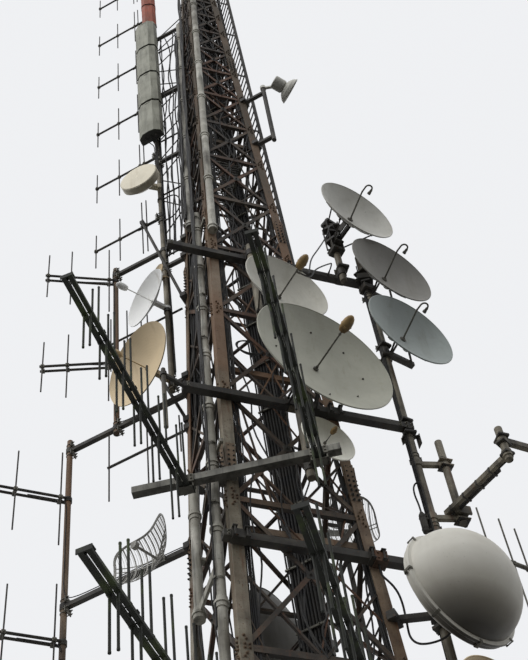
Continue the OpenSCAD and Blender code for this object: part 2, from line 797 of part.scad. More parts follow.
// Level arm from the right leg to a clamp on the covered dish's pole
module cover_arm(z, h) {
    edge = [2 * axis - corner(z), corner(z)];
    difference() {
        union() {
            level_bar([edge.x - 20, edge.y + 20], cover_pole, 60, 60, z);
            translate([cover_pole.x, cover_pole.y, z]) ring_solid(h);
            translate([edge.x, edge.y, z]) rotate(-45) translate([-60, -90, -50]) cube([90, 180, 100]);
        }
        translate([cover_pole.x, cover_pole.y, z]) ring_bore(h);
        at_leg(1) leg_envelope(z - 100, z + 100);
    }
}

module dish_mounts() {
    color(colour_dark) {
        dish_mount(stub_upper, dish_upper_z, upper_off, dish_az, 260);
        strut_mount(main_pole, dish_middle_z, dish_off, dish_az, dish_side);
        strut_mount(main_pole, dish_lower_z, dish_off, dish_az, dish_side);
        beam_mount();
        dish_mount(stub_inner, rear_large_z, rear_off, large_az, 240);
        dish_mount(front_pole, small_z, small_off, large_az, 140);
        dish_mount(cover_pole, cover_z, cover_off + skin_t, cover_az, 320);
        mount_glands();
        dish_mount(cover_pole, bottom_z, bottom_off, cover_az, 220);
        cover_arm(cover_z - 50, 100);
        cover_arm(bottom_z + 260, 90);
    }
}

// Poles and arms of the left leg, all in the upright plane through the left and right legs
out_az = 135;
mast_p = [290, 1820];
pole_2 = [-290, 2400];
pole_3 = [-780, 2890];
arm_upper_z = 19380;
arm_lower_z = 15700;
arm_bottom_z = 12940;
pole_2_d = 76;
mast_arms = [16020, 18900, 22200, 24650, 27300];
mast_z = [mast_arms[0] - 120, tower_h + 1200];

module left_mast() {
    color(colour_steel) pole(mast_p, mast_z[0], mast_z[1], pole_2_d);
}

module left_poles() {
    color(colour_brown) {
        pole(pole_2, arm_lower_z - 100, arm_upper_z + 180, pole_2_d);
        pole(pole_3, arm_bottom_z - 790, arm_lower_z + 200, pole_2_d);
    }
}

// Level arm from the left leg's outer edge out to pole p, with a V block on the leg
module leg_arm(z, p, through) {
    w = 60;
    rings = concat([p], through);
    edge = edge_left(z);
    difference() {
        union() {
            level_bar([edge.x + 20, edge.y - 20], p, w, w, z);
            for (r = rings) translate([r.x, r.y, z]) ring_solid(80, pole_2_d);
            translate([edge.x, edge.y, z]) rotate(out_az) translate([-60, -80, -45]) cube([90, 160, 90]);
        }
        for (r = rings) translate([r.x, r.y, z]) ring_bore(82, pole_2_d);
        at_leg(3) leg_envelope(z - 100, z + 100);
    }
}

module left_arms() {
    color(colour_dark) {
        leg_arm(arm_upper_z, pole_2, [mast_p]);
        leg_arm(arm_lower_z, pole_3, [pole_2]);
        leg_arm(arm_bottom_z, pole_3, []);
        for (z = mast_arms) leg_arm(z, mast_p, []);
    }
}

// One boom, or two side by side, from a pole clamp with upright rods at stated places and lengths
module yagi(p, z, az, boom, twin, rods, on_d = pole_2_d, boom_d = 36) {
    difference() {
        union() {
            translate([p.x, p.y, z]) ring_solid(70, on_d);
            translate([p.x, p.y, z]) rotate(az) {
                for (y = twin ? [-40, 40] : [0])
                    translate([0, y, 0]) rotate([0, 90, 0]) cylinder(h = boom, d = boom_d, $fn = 24);
                for (r = rods) translate([r.x, twin ? 40 : 0, -r.y / 2])
                    cylinder(h = r.y, d = yagi_rod_d, $fn = 16);
                if (twin) for (r = rods) translate([r.x - 8, -45, -8]) cube([16, 90, 16]);
            }
        }
        translate([p.x, p.y, z]) ring_bore(80, on_d);
    }
}

module yagi_stack() {
    first_z = 20400;
    color(colour_dark) {
        for (i = [0:5]) yagi(mast_p, first_z + i * stack_pitch, out_az, 1190, false,
            [[260, 1560], [340, 1560], [740, 1260], [1170, 970]]);
        side_yagi();
        leg_yagi();
        for (z = [20250, 20930]) mast_gland(z);
        stay(17800, first_z, 300, 88, [-20, 100]);
        stay(15150, 17300, 453, -92, [-110, -50]);
    }
}

// Band on the left mast with a gland that points at the left leg
module mast_gland(z) {
    difference() {
        translate([mast_p.x, mast_p.y, z]) {
            ring_solid(50, pole_2_d);
            rotate([90, 0, out_az - 90]) translate([0, 0, pole_2_d / 2 + 4])
                cylinder(h = gland_l, d = gland_d, $fn = 24);
        }
        translate([mast_p.x, mast_p.y, z]) ring_bore(52, pole_2_d);
    }
}

// Sloping stay from the left leg to a point s beyond the mast, kept "beside" off their common plane;
// its upper block reaches over the range "grip", measured the same way
module stay(z0, z1, s, beside, grip) {
    d = 44;
    edge = edge_left(z0);
    side = [cos(out_az + 90), sin(out_az + 90)] * beside;
    out = [cos(out_az), sin(out_az)] * s;
    low = [edge.x, edge.y, z0] + [side.x, side.y, 0];
    high = [mast_p.x, mast_p.y, z1] + [side.x + out.x, side.y + out.y, 0];
    y0 = min(-60, beside - d / 2 - 8);
    y1 = max(60, beside + d / 2 + 8);
    rod(low, high, d);
    translate([mast_p.x, mast_p.y, z1]) rotate(out_az)
        translate([s - 32, min(grip), -32]) cube([64, max(grip) - min(grip), 64]);
    difference() {
        translate([edge.x, edge.y, z0]) rotate(out_az) translate([-60, y0, -45]) cube([85, y1 - y0, 90]);
        at_leg(3) leg_envelope(z0 - 100, z0 + 100);
    }
}

// Yagi whose boom passes beside the mast
module side_yagi() {
    z = 17750;
    beside = pole_2_d / 2 + clamp_t + 12;
    difference() {
        union() {
            translate([mast_p.x, mast_p.y, z]) ring_solid(70, pole_2_d);
            translate([mast_p.x, mast_p.y, z]) rotate(out_az) translate([0, -beside, 0]) {
                translate([-200, 0, 0]) rotate([0, 90, 0]) cylinder(h = 1160, d = 32, $fn = 24);
                for (r = [[354, 1400], [453, 1560], [679, 1300], [943, 1270]])
                    translate([r.x, 0, -r.y / 2]) cylinder(h = r.y, d = yagi_rod_d, $fn = 16);
            }
        }
        translate([mast_p.x, mast_p.y, z]) ring_bore(80, pole_2_d);
    }
}

// Yagi whose boom is held on the left leg's outer edge
module leg_yagi() {
    z = 15000;
    edge = edge_left(z);
    difference() {
        translate([edge.x, edge.y, z]) rotate(out_az) {
            translate([-60, -60, -45]) cube([80, 120, 90]);
            rotate([0, 90, 0]) cylinder(h = 1120, d = 36, $fn = 24);
            for (r = [[100, 350, 350], [555, 750, 640], [1100, 625, 625]])
                translate([r.x, 0, -r.y]) cylinder(h = r.y + r.z, d = yagi_rod_d, $fn = 16);
        }
        at_leg(3) leg_envelope(z - 100, z + 100);
    }
}

module left_yagis() {
    rods = [[100, 1700], [650, 1450], [980, 1140]];
    color(colour_dark) {
        yagi(pole_2, arm_upper_z - 180, 171, 1020, true, rods);
        yagi(pole_2, arm_lower_z + 1400, 163, 1020, true, rods);
        yagi(pole_3, arm_lower_z - 950, 181, 1020, true, rods);
        yagi(pole_3, arm_bottom_z - 540, 181, 1020, true, rods);
    }
}

// Stack of panel antennas with bevelled fronts, hung on the mast by brackets
panel_az = -135;
upper_panel_az = -110;
panel_pitch = 1225;
panel_z0 = 22850;

module panel_body(w, d, h) {
    translate([d / 2, 0, 0]) linear_extrude(h)
        polygon([[-d / 2, -w / 2], [d * 0.15, -w / 2], [d / 2, -w * 0.26], [d / 2, w * 0.26],
            [d * 0.15, w / 2], [-d / 2, w / 2]]);
}

module panel_antennas() {
    off = 110;
    color("#6c7266") for (i = [0:3]) {
        z = panel_z0 + i * panel_pitch;
        translate([mast_p.x, mast_p.y, z]) rotate(panel_az) translate([off, 0, 0])
            panel_body(panel_w, 190, panel_h);
        for (zz = [z + 150, z + panel_h - 150]) panel_bracket(zz, off, panel_az);
    }
}

module panel_bracket(z, off, az) {
    difference() {
        union() {
            translate([mast_p.x, mast_p.y, z]) ring_solid(60, pole_2_d);
            translate([mast_p.x, mast_p.y, z]) rotate(az) translate([30, -40, -25])
                cube([off - 29, 80, 50]);
        }
        translate([mast_p.x, mast_p.y, z]) ring_bore(70, pole_2_d);
    }
}

module upper_panels() {
    off = 100;
    h = 980;
    color("#b8563a") for (i = [0:1]) {
        z = panel_z0 + 4 * panel_pitch + 40 + i * (h + 60);
        translate([mast_p.x, mast_p.y, z]) rotate(upper_panel_az) translate([off, 0, 0])
            panel_body(270, 120, h);
        for (zz = [z + 100, z + h - 70]) panel_bracket(zz, off, upper_panel_az);
    }
}

white_z = 17820;
cream_z = 16130;
small_cream_z = 18600;

module white_dish() {
    color("#e8ecec") left_dish(white_z, white_dish_d, 120, -163, 0, 240);
}

module cream_dish() {
    color(colour_cream) {
        left_dish(cream_z, cream_dish_d, 150, -158, -7, 400);
        left_dish(small_cream_z, 330, 40, -165, 0, 110, false);
    }
}

// Dish with its feed and clamp on the left mast, its vertex s away from the mast
module left_dish(z, d, depth, az, el, s, feed = true) {
    facing([mast_p.x, mast_p.y, z], az, el) translate([0, 0, s]) {
        reflector(d, depth);
        if (feed) cup_feed(400, 100);
    }
    difference() {
        union() {
            translate([mast_p.x, mast_p.y, z]) ring_solid(d / 16, pole_2_d);
            facing([mast_p.x, mast_p.y, z], az, el) {
                translate([-d / 28, -30, 0]) cube([d / 14, 60, s]);
                translate([0, 0, s - 30]) cylinder(h = 30, d = d / 6, $fn = 32);
            }
        }
        translate([mast_p.x, mast_p.y, z]) ring_bore(190, pole_2_d);
    }
}

module drum_dish() {
    z = 21360;
    az = -133;
    d = 640;
    face = [-100, 1700, z];
    depth = 190;
    back = [face.x - depth * cos(az), face.y - depth * sin(az)];
    color(colour_cream) {
        facing([back.x, back.y, z], az) rotate_extrude($fn = 64)
            polygon([[0, 0], [d * 0.35, 0], [d / 2, 60], [d / 2, depth - 20], [d / 2 - 12, depth - 8],
                [0, depth]]);
        difference() {
            union() {
                translate([mast_p.x, mast_p.y, z]) ring_solid(120, pole_2_d);
                level_bar(mast_p, back + [10 * cos(az), 10 * sin(az)], 80, 80, z);
            }
            translate([mast_p.x, mast_p.y, z]) ring_bore(140, pole_2_d);
        }
    }
}

// Grid of curved wires in a rounded rectangular rim, a wide and b high each way from the middle
module grid_reflector(a, b, k) {
    bar = 9;
    pitch = 62;
    n = 7;
    r = norm([a, b]) + 30;
    outline = [for (t = [0:7.5:359]) [sign(cos(t)) * pow(abs(cos(t)), 0.66),
        sign(sin(t)) * pow(abs(sin(t)), 0.66)]];
    intersection() {
        rotate_extrude($fn = 96) polygon(concat([for (i = [0:n]) [r * i / n, k * pow(r * i / n, 2)]],
            [for (i = [n:-1:0]) [r * i / n, k * pow(r * i / n, 2) + bar]]));
        translate([0, 0, -1]) linear_extrude(k * r * r + 2 * bar) {
            difference() {
                polygon([for (p = outline) [p.x * b, p.y * a]]);
                polygon([for (p = outline) [p.x * (b - 14), p.y * (a - 14)]]);
            }
            intersection() {
                polygon([for (p = outline) [p.x * (b - 1), p.y * (a - 1)]]);
                union() {
                    for (y = [-floor(a / pitch):floor(a / pitch)])
                        translate([-b, y * pitch - bar / 2]) square([2 * b, bar]);
                    for (x = [-30, 30]) translate([x - bar / 2, -a]) square([bar, 2 * a]);
                }
            }
        }
    }
}

module grid_feed(l) {
    translate([0, 0, 2]) cylinder(h = l, d = 30, $fn = 24);
    translate([0, 0, l - 40]) cylinder(h = 50, d = 95, $fn = 32);
}

module grid_dish_left() {
    z = arm_bottom_z;
    az = -154;
    edge = edge_left(z);
    hub = edge + [-out_left, out_left];
    ahead = 70;
    color(colour_grey) {
        facing([hub.x + ahead * cos(az), hub.y + ahead * sin(az), z], az) {
            grid_reflector(430, 320, 0.00134);
            grid_feed(330);
            translate([0, 0, -12]) cylinder(h = 22, d = 120, $fn = 32);
        }
        translate([hub.x, hub.y, z]) rotate(out_az) translate([-60, 30 + clear, -40]) cube([120, 22, 80]);
    }
}

function edge_left(z) = [corner(z), 2 * axis - corner(z)];
out_left = 238;

module grid_dish_right() {
    z = 13480;
    az = -102;
    v = [2220, 1600];
    edge = 2 * axis - corner(z);
    color(colour_grey) {
        facing([v.x, v.y, z], az) {
            grid_reflector(320, 420, 0.001);
            grid_feed(300);
        }
        difference() {
            union() {
                translate([v.x - 20 * cos(az), v.y - 20 * sin(az), z - 30])
                    cylinder(h = 60, d = 60, $fn = 32);
                level_bar([edge - 20, edge - 20], [v.x - 20 * cos(az), v.y - 20 * sin(az)], 50, 50, z);
                translate([edge, edge, z]) rotate(45) translate([-60, -60, -40]) cube([80, 120, 80]);
            }
            at_leg(2) leg_envelope(z - 100, z + 100);
        }
    }
}

top_pole = [1715, 395];

module top_arms() {
    color(colour_dark) {
        pole(top_pole, 20950, 22900, 70);
        for (z = [21080, 22700]) difference() {
            union() {
                level_bar([2 * axis - corner(z) - 20, corner(z) + 20], top_pole, 60, 60, z);
                translate([2 * axis - corner(z), corner(z), z]) rotate(-45) translate([-60, -80, -45])
                    cube([90, 160, 90]);
            }
            at_leg(1) leg_envelope(z - 100, z + 100);
        }
    }
}

// Short drum with a bowl on its end, on an arm from the top of the right pole
module top_drum() {
    z = 22870;
    arm = 260;
    t = skin_t + 2;
    color(colour_pale) {
        difference() {
            union() {
                translate([top_pole.x, top_pole.y, z - 40])
                    cylinder(h = 80, d = 70 + 2 * clamp_t, $fn = 48);
                translate([top_pole.x, top_pole.y, z]) rotate(-25) translate([30, -20, -20])
                    cube([arm, 40, 40]);
            }
            translate([top_pole.x, top_pole.y, z - 60]) cylinder(h = 120, d = 70 + 2 * clear, $fn = 48);
        }
        facing([top_pole.x + arm, top_pole.y - 120, z], 10, -20) {
            rotate_extrude($fn = 64) polygon([[0, -130], [100, -130], [112, -118], [112, 50], [90, 70],
                [0, 70]]);
            translate([0, 0, 68]) rotate_extrude($fn = 64)
                polygon([[0, 0], [60, 4], [130, 30], [190, 78], [218, 130],
                [218 + t, 130], [218 + t, 124], [195, 70], [134, 30 - t], [64, -t], [0, -t]]);
        }
    }
}

back_pole = [2000, 2180];

// Large dish behind the tower, on a pole held by two arms from the back leg
module back_dish() {
    z = 12180;
    az = 132;
    s = 230;
    arms = [z - 600, z + 600];
    v = vertex(back_pole, z, s, az);
    color(colour_grey) {
        facing(v, az) reflector(1900, 250);
        difference() {
            union() {
                translate([back_pole.x, back_pole.y, z]) ring_solid(200);
                facing([back_pole.x, back_pole.y, z], az) translate([-60, -45, 0]) cube([120, 90, s]);
                for (h = arms) {
                    edge = 2 * axis - corner(h);
                    translate([back_pole.x, back_pole.y, h]) ring_solid(80);
                    level_bar([edge - 20, edge - 20], back_pole, 60, 60, h);
                    translate([edge, edge, h]) rotate(45) translate([-60, -80, -45]) cube([90, 160, 90]);
                }
            }
            translate([back_pole.x, back_pole.y, z]) ring_bore(1500);
            for (h = arms) at_leg(2) leg_envelope(h - 100, h + 100);
        }
        pole(back_pole, z - 760, z + 760, pole_d - 1);
    }
}

// Routes of the free cables, from gland to gland
dish_route_1 = [[2184.6, 100.3, 17870], [2155.8, 92.6, 17870], [2126.9, 84.8, 17870],
    [2074, 56, 17828], [2032, 15, 17710], [1978, -33, 17500], [1900, -88, 17250],
    [1805, -147, 16985], [1705, -207, 16715], [1605, -270, 16450],
    [1510, -333, 16200], [1435, -388, 15975], [1385, -427, 15785], [1349, -453, 15612],
    [1322, -468, 15506], [1284.9, -479.7, 15469], [1227.4, -492.9, 15469]];
dish_route_2 = [[2050, 322, 17080], [2050, 262, 17080], [2036, 200, 17052], [1998, 130, 16960],
    [1935, 65, 16820], [1855, -10, 16650], [1765, -90, 16460], [1670, -172, 16260], [1580, -250, 16065],
    [1500, -320, 15880], [1442, -370, 15725], [1404, -398, 15612], [1368, -416, 15530],
    [1327, -430, 15484], [1276.9, -444.6, 15469], [1218.8, -458, 15469]];
cover_route = [[1764.6, 253.8, 11382.7], [1764.6, 253.8, 11320], [1772, 243, 11258], [1800, 228, 11195],
    [1845, 225, 11125], [1890, 240, 11045], [1922, 268, 10950], [1938, 295, 10850], [1941, 305, 10750],
    [1936, 303, 10650], [1932, 290, 10560], [1942, 265, 10480], [1970, 232, 10420], [2015, 190, 10385],
    [2070, 145, 10370], [2130, 100, 10372], [2190, 70, 10405], [2233, 61, 10470], [2251, 59.3, 10555],
    [2252.6, 59.2, 10630], [2252.6, 59.2, 10699.6]];
left_route = [[362.5, 1747.5, 20930], [383.4, 1726.6, 20930], [404.3, 1705.7, 20930],
    [452, 1658, 20898], [495, 1615, 20810], [520, 1590, 20690], [526, 1584, 20560], [510, 1600, 20430],
    [468, 1642, 20310], [404.3, 1705.7, 20250], [383.4, 1726.6, 20250], [362.5, 1747.5, 20250]];

// Points along a smooth curve through the points p, k steps between neighbours
function along(p, k) = concat([for (i = [0:len(p) - 2], j = [0:k - 1])
    let (t = j / k, a = p[max(i - 1, 0)], b = p[i], c = p[i + 1], e = p[min(i + 2, len(p) - 1)])
    b + (c - a) * t / 2 + (2 * a - 5 * b + 4 * c - e) * t * t / 2
    + (3 * b - 3 * c + e - a) * t * t * t / 2], [p[len(p) - 1]]);

// Round cable of diameter d along a route, smoothed with four steps between its points
module cord(route, d, ref = [0, 0, 1]) {
    path = along(route, 4);
    m = len(path) - 1;
    sides = 8;
    rings = [for (i = [0:m]) let (t = path[min(i + 1, m)] - path[max(i - 1, 0)], u = cross(t, ref),
        w = cross(t, u))
        for (j = [0:sides - 1])
            path[i] + (u / norm(u) * cos(360 * j / sides) + w / norm(w) * sin(360 * j / sides)) * d / 2];
    walls = [for (i = [0:m - 1], j = [0:sides - 1]) let (a = i * sides + j,
        b = i * sides + (j + 1) % sides)
        [[a, a + sides, b], [b, a + sides, b + sides]]];
    color("#16171a") polyhedron(points = rings,
        faces = concat([for (w = walls) w[0]], [for (w = walls) w[1]],
        [[for (j = [0:sides - 1]) j]], [[for (j = [sides - 1:-1:0]) m * sides + j]]), convexity = 8);
}

leg();  // leg_front
at_leg(1) leg();  // leg_right
at_leg(2) leg();  // leg_back
at_leg(3) leg();  // leg_left
bracing();  // bracing_front
at_leg(1) bracing();  // bracing_right
at_leg(2) bracing();  // bracing_back
at_leg(3) bracing();  // bracing_left
top_plate();
ladder();
cable_ladder();
feeder_cables();
conduit();
beam_upper();
beam_middle();
beam_lower();
front_bars();
yard(yard_upper_z);  // yard_upper
yard(yard_lower_z);  // yard_lower
log_antenna(yard_upper_z, -414, -128);  // log_antenna_1
log_antenna(yard_upper_z, 953, -121);  // log_antenna_2
log_antenna(yard_lower_z, 20, -130, 10);  // log_antenna_3
log_antenna(yard_lower_z, 1120, -123);  // log_antenna_4
dish_pole();
stub_poles();
side_pole();
dish_upper();
dish_middle();
dish_lower();
large_dish();
rear_large_dish();
small_dish();
covered_dish();
bottom_dish();
dish_feeds();
dish_mounts();
left_mast();
left_arms();
left_poles();
panel_antennas();
upper_panels();
yagi_stack();
left_yagis();
right_yagi();
white_dish();
cream_dish();
drum_dish();
grid_dish_left();
grid_dish_right();
top_arms();
top_drum();
back_dish();
cord(dish_route_1, 18, [0, 1, 0]);  // dish_jumper_1
cord(dish_route_2, 18, [0, 1, 0]);  // dish_jumper_2
cord(cover_route, 22, [0, 1, 0]);  // cover_jumper
cord(left_route, 20, [1, 1, 0]);  // left_jumper
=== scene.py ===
import json
import math
import random

import bmesh
import bpy
from mathutils import Matrix, Quaternion, Vector

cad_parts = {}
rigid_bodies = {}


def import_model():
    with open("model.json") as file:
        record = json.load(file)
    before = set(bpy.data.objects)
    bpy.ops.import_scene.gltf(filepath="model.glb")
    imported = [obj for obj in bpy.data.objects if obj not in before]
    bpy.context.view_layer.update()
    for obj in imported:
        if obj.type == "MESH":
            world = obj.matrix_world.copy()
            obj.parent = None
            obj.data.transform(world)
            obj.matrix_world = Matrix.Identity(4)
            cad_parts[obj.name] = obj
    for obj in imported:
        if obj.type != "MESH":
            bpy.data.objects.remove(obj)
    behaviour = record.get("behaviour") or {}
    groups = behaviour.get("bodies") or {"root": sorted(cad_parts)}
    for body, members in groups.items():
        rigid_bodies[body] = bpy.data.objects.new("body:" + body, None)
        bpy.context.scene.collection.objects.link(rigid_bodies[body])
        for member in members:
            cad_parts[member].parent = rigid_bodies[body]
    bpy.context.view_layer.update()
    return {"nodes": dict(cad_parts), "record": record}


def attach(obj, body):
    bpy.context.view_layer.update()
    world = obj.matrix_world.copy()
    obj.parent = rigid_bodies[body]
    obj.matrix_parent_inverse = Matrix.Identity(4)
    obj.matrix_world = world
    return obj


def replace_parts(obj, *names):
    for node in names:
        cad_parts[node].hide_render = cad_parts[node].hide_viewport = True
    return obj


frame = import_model()
scene = bpy.context.scene
scene.view_settings.view_transform = "Standard"
chance = random.Random(7)


# The tower's own lines, in metres

BASE_W = 2.18
TOP_W = 0.404
TOWER_H = 30.0
PANELS = 21
MIDDLE = 1.055
BATTER = 0.0296
RATIO = (TOP_W / BASE_W) ** (1 / PANELS)
LEAN = math.atan(BATTER * math.sqrt(2))
CLEAR = 0.0003
# Thickness of the base plates, and radius of the thick and the thin poles
PLATE = 0.025
POLE = 0.045
MAST = 0.038
main_pole, cover_pole, side_pole = Vector((2.56, 0.36)), Vector((2.22, 0.1538)), Vector((2.867, 0.3))
mast, pole_2, pole_3 = Vector((0.29, 1.82)), Vector((-0.29, 2.4)), Vector((-0.78, 2.89))
end_pole, stub, inner_stub = (3.05, -0.56), (2.23, 0.3195), (0.977, 0.3195)
# Side of the beams' and yards' square section; each beam's height, its two ends and its poles in x
BEAM = 0.09
BEAMS = (
    (17.1, -0.1, 2.54, (2.56, 2.23, 0.977)),
    (13.9, -0.06, 2.54, (2.56,)),
    (11.5, 0.2, 2.82, (2.56, 2.22)),
)
YARDS = (12.47, 8.6)
YARD_TURN = -28
MAST_ARMS = (16.02, 18.9, 22.2, 24.65, 27.3)
STACKED_YAGIS = [20.4 + 2.055 * n for n in range(6)]
PANEL_LOW, PANEL_PITCH, PANEL_TURN = 22.85, 1.225, -135


def corner(z):
    """How far the front leg's outer edge stands in from x = y = 0 at height z."""
    return BATTER * z - 0.035


def level(i):
    """Height of the level bars at the top of panel i."""
    return BASE_W / 2 * (1 - RATIO ** i) / BATTER


def on_leg(i, x, y, z):
    """A point x and y in from the outer edge of leg i: 0 front, 1 right, 2 back, 3 left."""
    spot = Vector((corner(z) + x - MIDDLE, corner(z) + y - MIDDLE, z))
    spot.rotate(Quaternion((0, 0, 1), i * math.pi / 2))
    return spot + Vector((MIDDLE, MIDDLE, 0))


def beam_back(z):
    """Where a beam's back lies in y, just clear of the legs."""
    return corner(z - BEAM / 2) - CLEAR


def way(azimuth):
    a = math.radians(azimuth)
    return Vector((math.cos(a), math.sin(a), 0))


def vertex(p, z, s, azimuth, side=0.0):
    """The vertex of a dish that stands s out from a pole, and to one side of it."""
    a = math.radians(azimuth)
    return Vector((p[0] + s * math.cos(a) - side * math.sin(a),
                   p[1] + s * math.sin(a) + side * math.cos(a), z))


def frame_at(origin, along, across=(0, 0, 1)):
    """A place whose local Z runs along a direction and whose local X lies as near as it can to another."""
    z = Vector(along).normalized()
    y = z.cross(Vector(across))
    if y.length < 1e-4:
        y = z.cross(Vector((1, 0, 0)))
    y.normalize()
    return Matrix.Translation(Vector(origin)) @ Matrix((y.cross(z), y, z)).transposed().to_4x4()


def standing(p, z, azimuth):
    """A place on a pole at height z, turned so that local X looks along an azimuth."""
    return Matrix.Translation((p[0], p[1], z)) @ Matrix.Rotation(math.radians(azimuth), 4, "Z")


def facing(p, azimuth):
    """Local Z looks out along an azimuth, local X points down and local Y stays level."""
    return standing(p, p[2], azimuth) @ Matrix.Rotation(math.radians(90), 4, "Y")


def axis_of(place):
    return place.to_3x3() @ Vector((0, 0, 1))


def at_yard(z):
    """A place on a yard's middle line, local X along the yard."""
    c = corner(z - BEAM / 2)
    return standing((c, c), z, YARD_TURN)


class Dish:
    """Where a dish sits and how big it is; local Z of its place is the dish's own axis."""

    def __init__(self, spot, azimuth, diameter, depth):
        self.place = facing(spot, azimuth)
        self.diameter, self.depth = diameter, depth

    def feed_place(self, foot):
        """Where a feed with a round foot stands clear of the curve of the dish."""
        share = foot / self.diameter
        return self.place @ Matrix.Translation((0, 0, self.depth * share * max(share, 1 / 14)))


front_pole = (1.24, corner(12.63) - 0.048)
dishes = {
    "upper_dish": Dish(vertex(stub, 17.91, 0.4, -75), -75, 1.12, 0.175),
    "middle_dish": Dish(vertex(main_pole, 16.839, 0.26, -75, 0.085), -75, 1.2, 0.175),
    "lower_dish": Dish(vertex(main_pole, 15.448, 0.26, -75, 0.085), -75, 1.2, 0.175),
    "large_dish": Dish((1.285, -0.2, 13.905), -77, 1.68, 0.22),
    "rear_dish": Dish(vertex(inner_stub, 15.469, 0.405, -77), -77, 1.09, 0.2),
    "small_dish": Dish(vertex(front_pole, 12.85, 0.31, -77), -77, 0.62, 0.08),
    "bottom_dish": Dish(vertex(cover_pole, 9.38, 0.23, -71, 0.05), -71, 1.0, 0.175),
}


# Camera, light and floor

def place_camera():
    """A long lens, tilted up and rolled, at eye height in front of the tower."""
    azimuth, pitch, roll = math.radians(65.53), math.radians(55.894), math.radians(-9.305)
    look = Vector((math.cos(azimuth) * math.cos(pitch), math.sin(azimuth) * math.cos(pitch),
                   math.sin(pitch)))
    data = bpy.data.cameras.new("camera")
    data.sensor_width = 36
    data.lens = 76.52
    data.clip_start, data.clip_end = 0.1, 400
    camera = bpy.data.objects.new("camera", data)
    scene.collection.objects.link(camera)
    camera.location = (-2.8605, -8.1499, 1.6)
    camera.rotation_mode = "QUATERNION"
    camera.rotation_quaternion = look.to_track_quat("-Z", "Y") @ Quaternion((0, 0, 1), roll)
    scene.camera = camera


def light_the_sky():
    """An overcast sky: pale all round for the camera, light from above only for the object."""
    world = bpy.data.worlds.new("overcast")
    scene.world = world
    world.use_nodes = True
    nodes, links = world.node_tree.nodes, world.node_tree.links
    nodes.clear()
    out = nodes.new("ShaderNodeOutputWorld")
    lit, seen = nodes.new("ShaderNodeBackground"), nodes.new("ShaderNodeBackground")
    seen.inputs["Color"].default_value = (0.865, 0.875, 0.895, 1)
    path, pick = nodes.new("ShaderNodeLightPath"), nodes.new("ShaderNodeMixShader")
    either, mirror = nodes.new("ShaderNodeMath"), nodes.new("ShaderNodeMath")
    either.operation = mirror.operation = "MAXIMUM"
    coords, split = nodes.new("ShaderNodeTexCoord"), nodes.new("ShaderNodeSeparateXYZ")
    ramp = nodes.new("ShaderNodeValToRGB")
    below, above = ramp.color_ramp.elements
    below.position, below.color = 0.42, (0.05, 0.05, 0.045, 1)
    above.position, above.color = 0.60, (0.84, 0.87, 0.93, 1)
    shift = nodes.new("ShaderNodeMath")
    shift.operation = "MULTIPLY_ADD"
    shift.inputs[1].default_value = shift.inputs[2].default_value = 0.5
    for giver, taker in (
            (coords.outputs["Generated"], split.inputs[0]), (split.outputs["Z"], shift.inputs[0]),
            (shift.outputs[0], ramp.inputs[0]), (ramp.outputs["Color"], lit.inputs["Color"]),
            (path.outputs["Is Camera Ray"], either.inputs[0]),
            (path.outputs["Is Transmission Ray"], either.inputs[1]), (either.outputs[0], mirror.inputs[0]),
            (path.outputs["Is Glossy Ray"], mirror.inputs[1]), (mirror.outputs[0], pick.inputs[0]),
            (lit.outputs[0], pick.inputs[1]), (seen.outputs[0], pick.inputs[2]),
            (pick.outputs[0], out.inputs["Surface"])):
        links.new(giver, taker)
    sun = bpy.data.lights.new("soft_sun", "SUN")
    sun.energy, sun.angle = 1.3, math.radians(50)
    lamp = bpy.data.objects.new("soft_sun", sun)
    scene.collection.objects.link(lamp)
    lamp.rotation_euler = Vector((0.80, 0.35, -0.75)).to_track_quat("-Z", "Y").to_euler()


def lay_floor():
    bpy.ops.object.select_all(action="DESELECT")
    bpy.ops.mesh.primitive_circle_add(vertices=96, radius=9, fill_type="NGON", location=(MIDDLE, MIDDLE, 0))
    floor = bpy.context.object
    floor.name = "floor"
    paint = bpy.data.materials.new("pale_floor")
    paint.use_nodes = True
    shader = paint.node_tree.nodes["Principled BSDF"]
    shader.inputs["Base Color"].default_value = (0.55, 0.55, 0.54, 1)
    shader.inputs["Roughness"].default_value = 0.9
    floor.data.materials.append(paint)


place_camera()
light_the_sky()
lay_floor()


# How pieces are made

def clear_bench():
    """Leaves edit mode, with nothing selected."""
    if bpy.context.mode != "OBJECT":
        bpy.ops.object.mode_set(mode="OBJECT")
    bpy.ops.object.select_all(action="DESELECT")


def hold(thing):
    """Makes a thing the only one that operators act on."""
    clear_bench()
    thing.select_set(True)
    bpy.context.view_layer.objects.active = thing


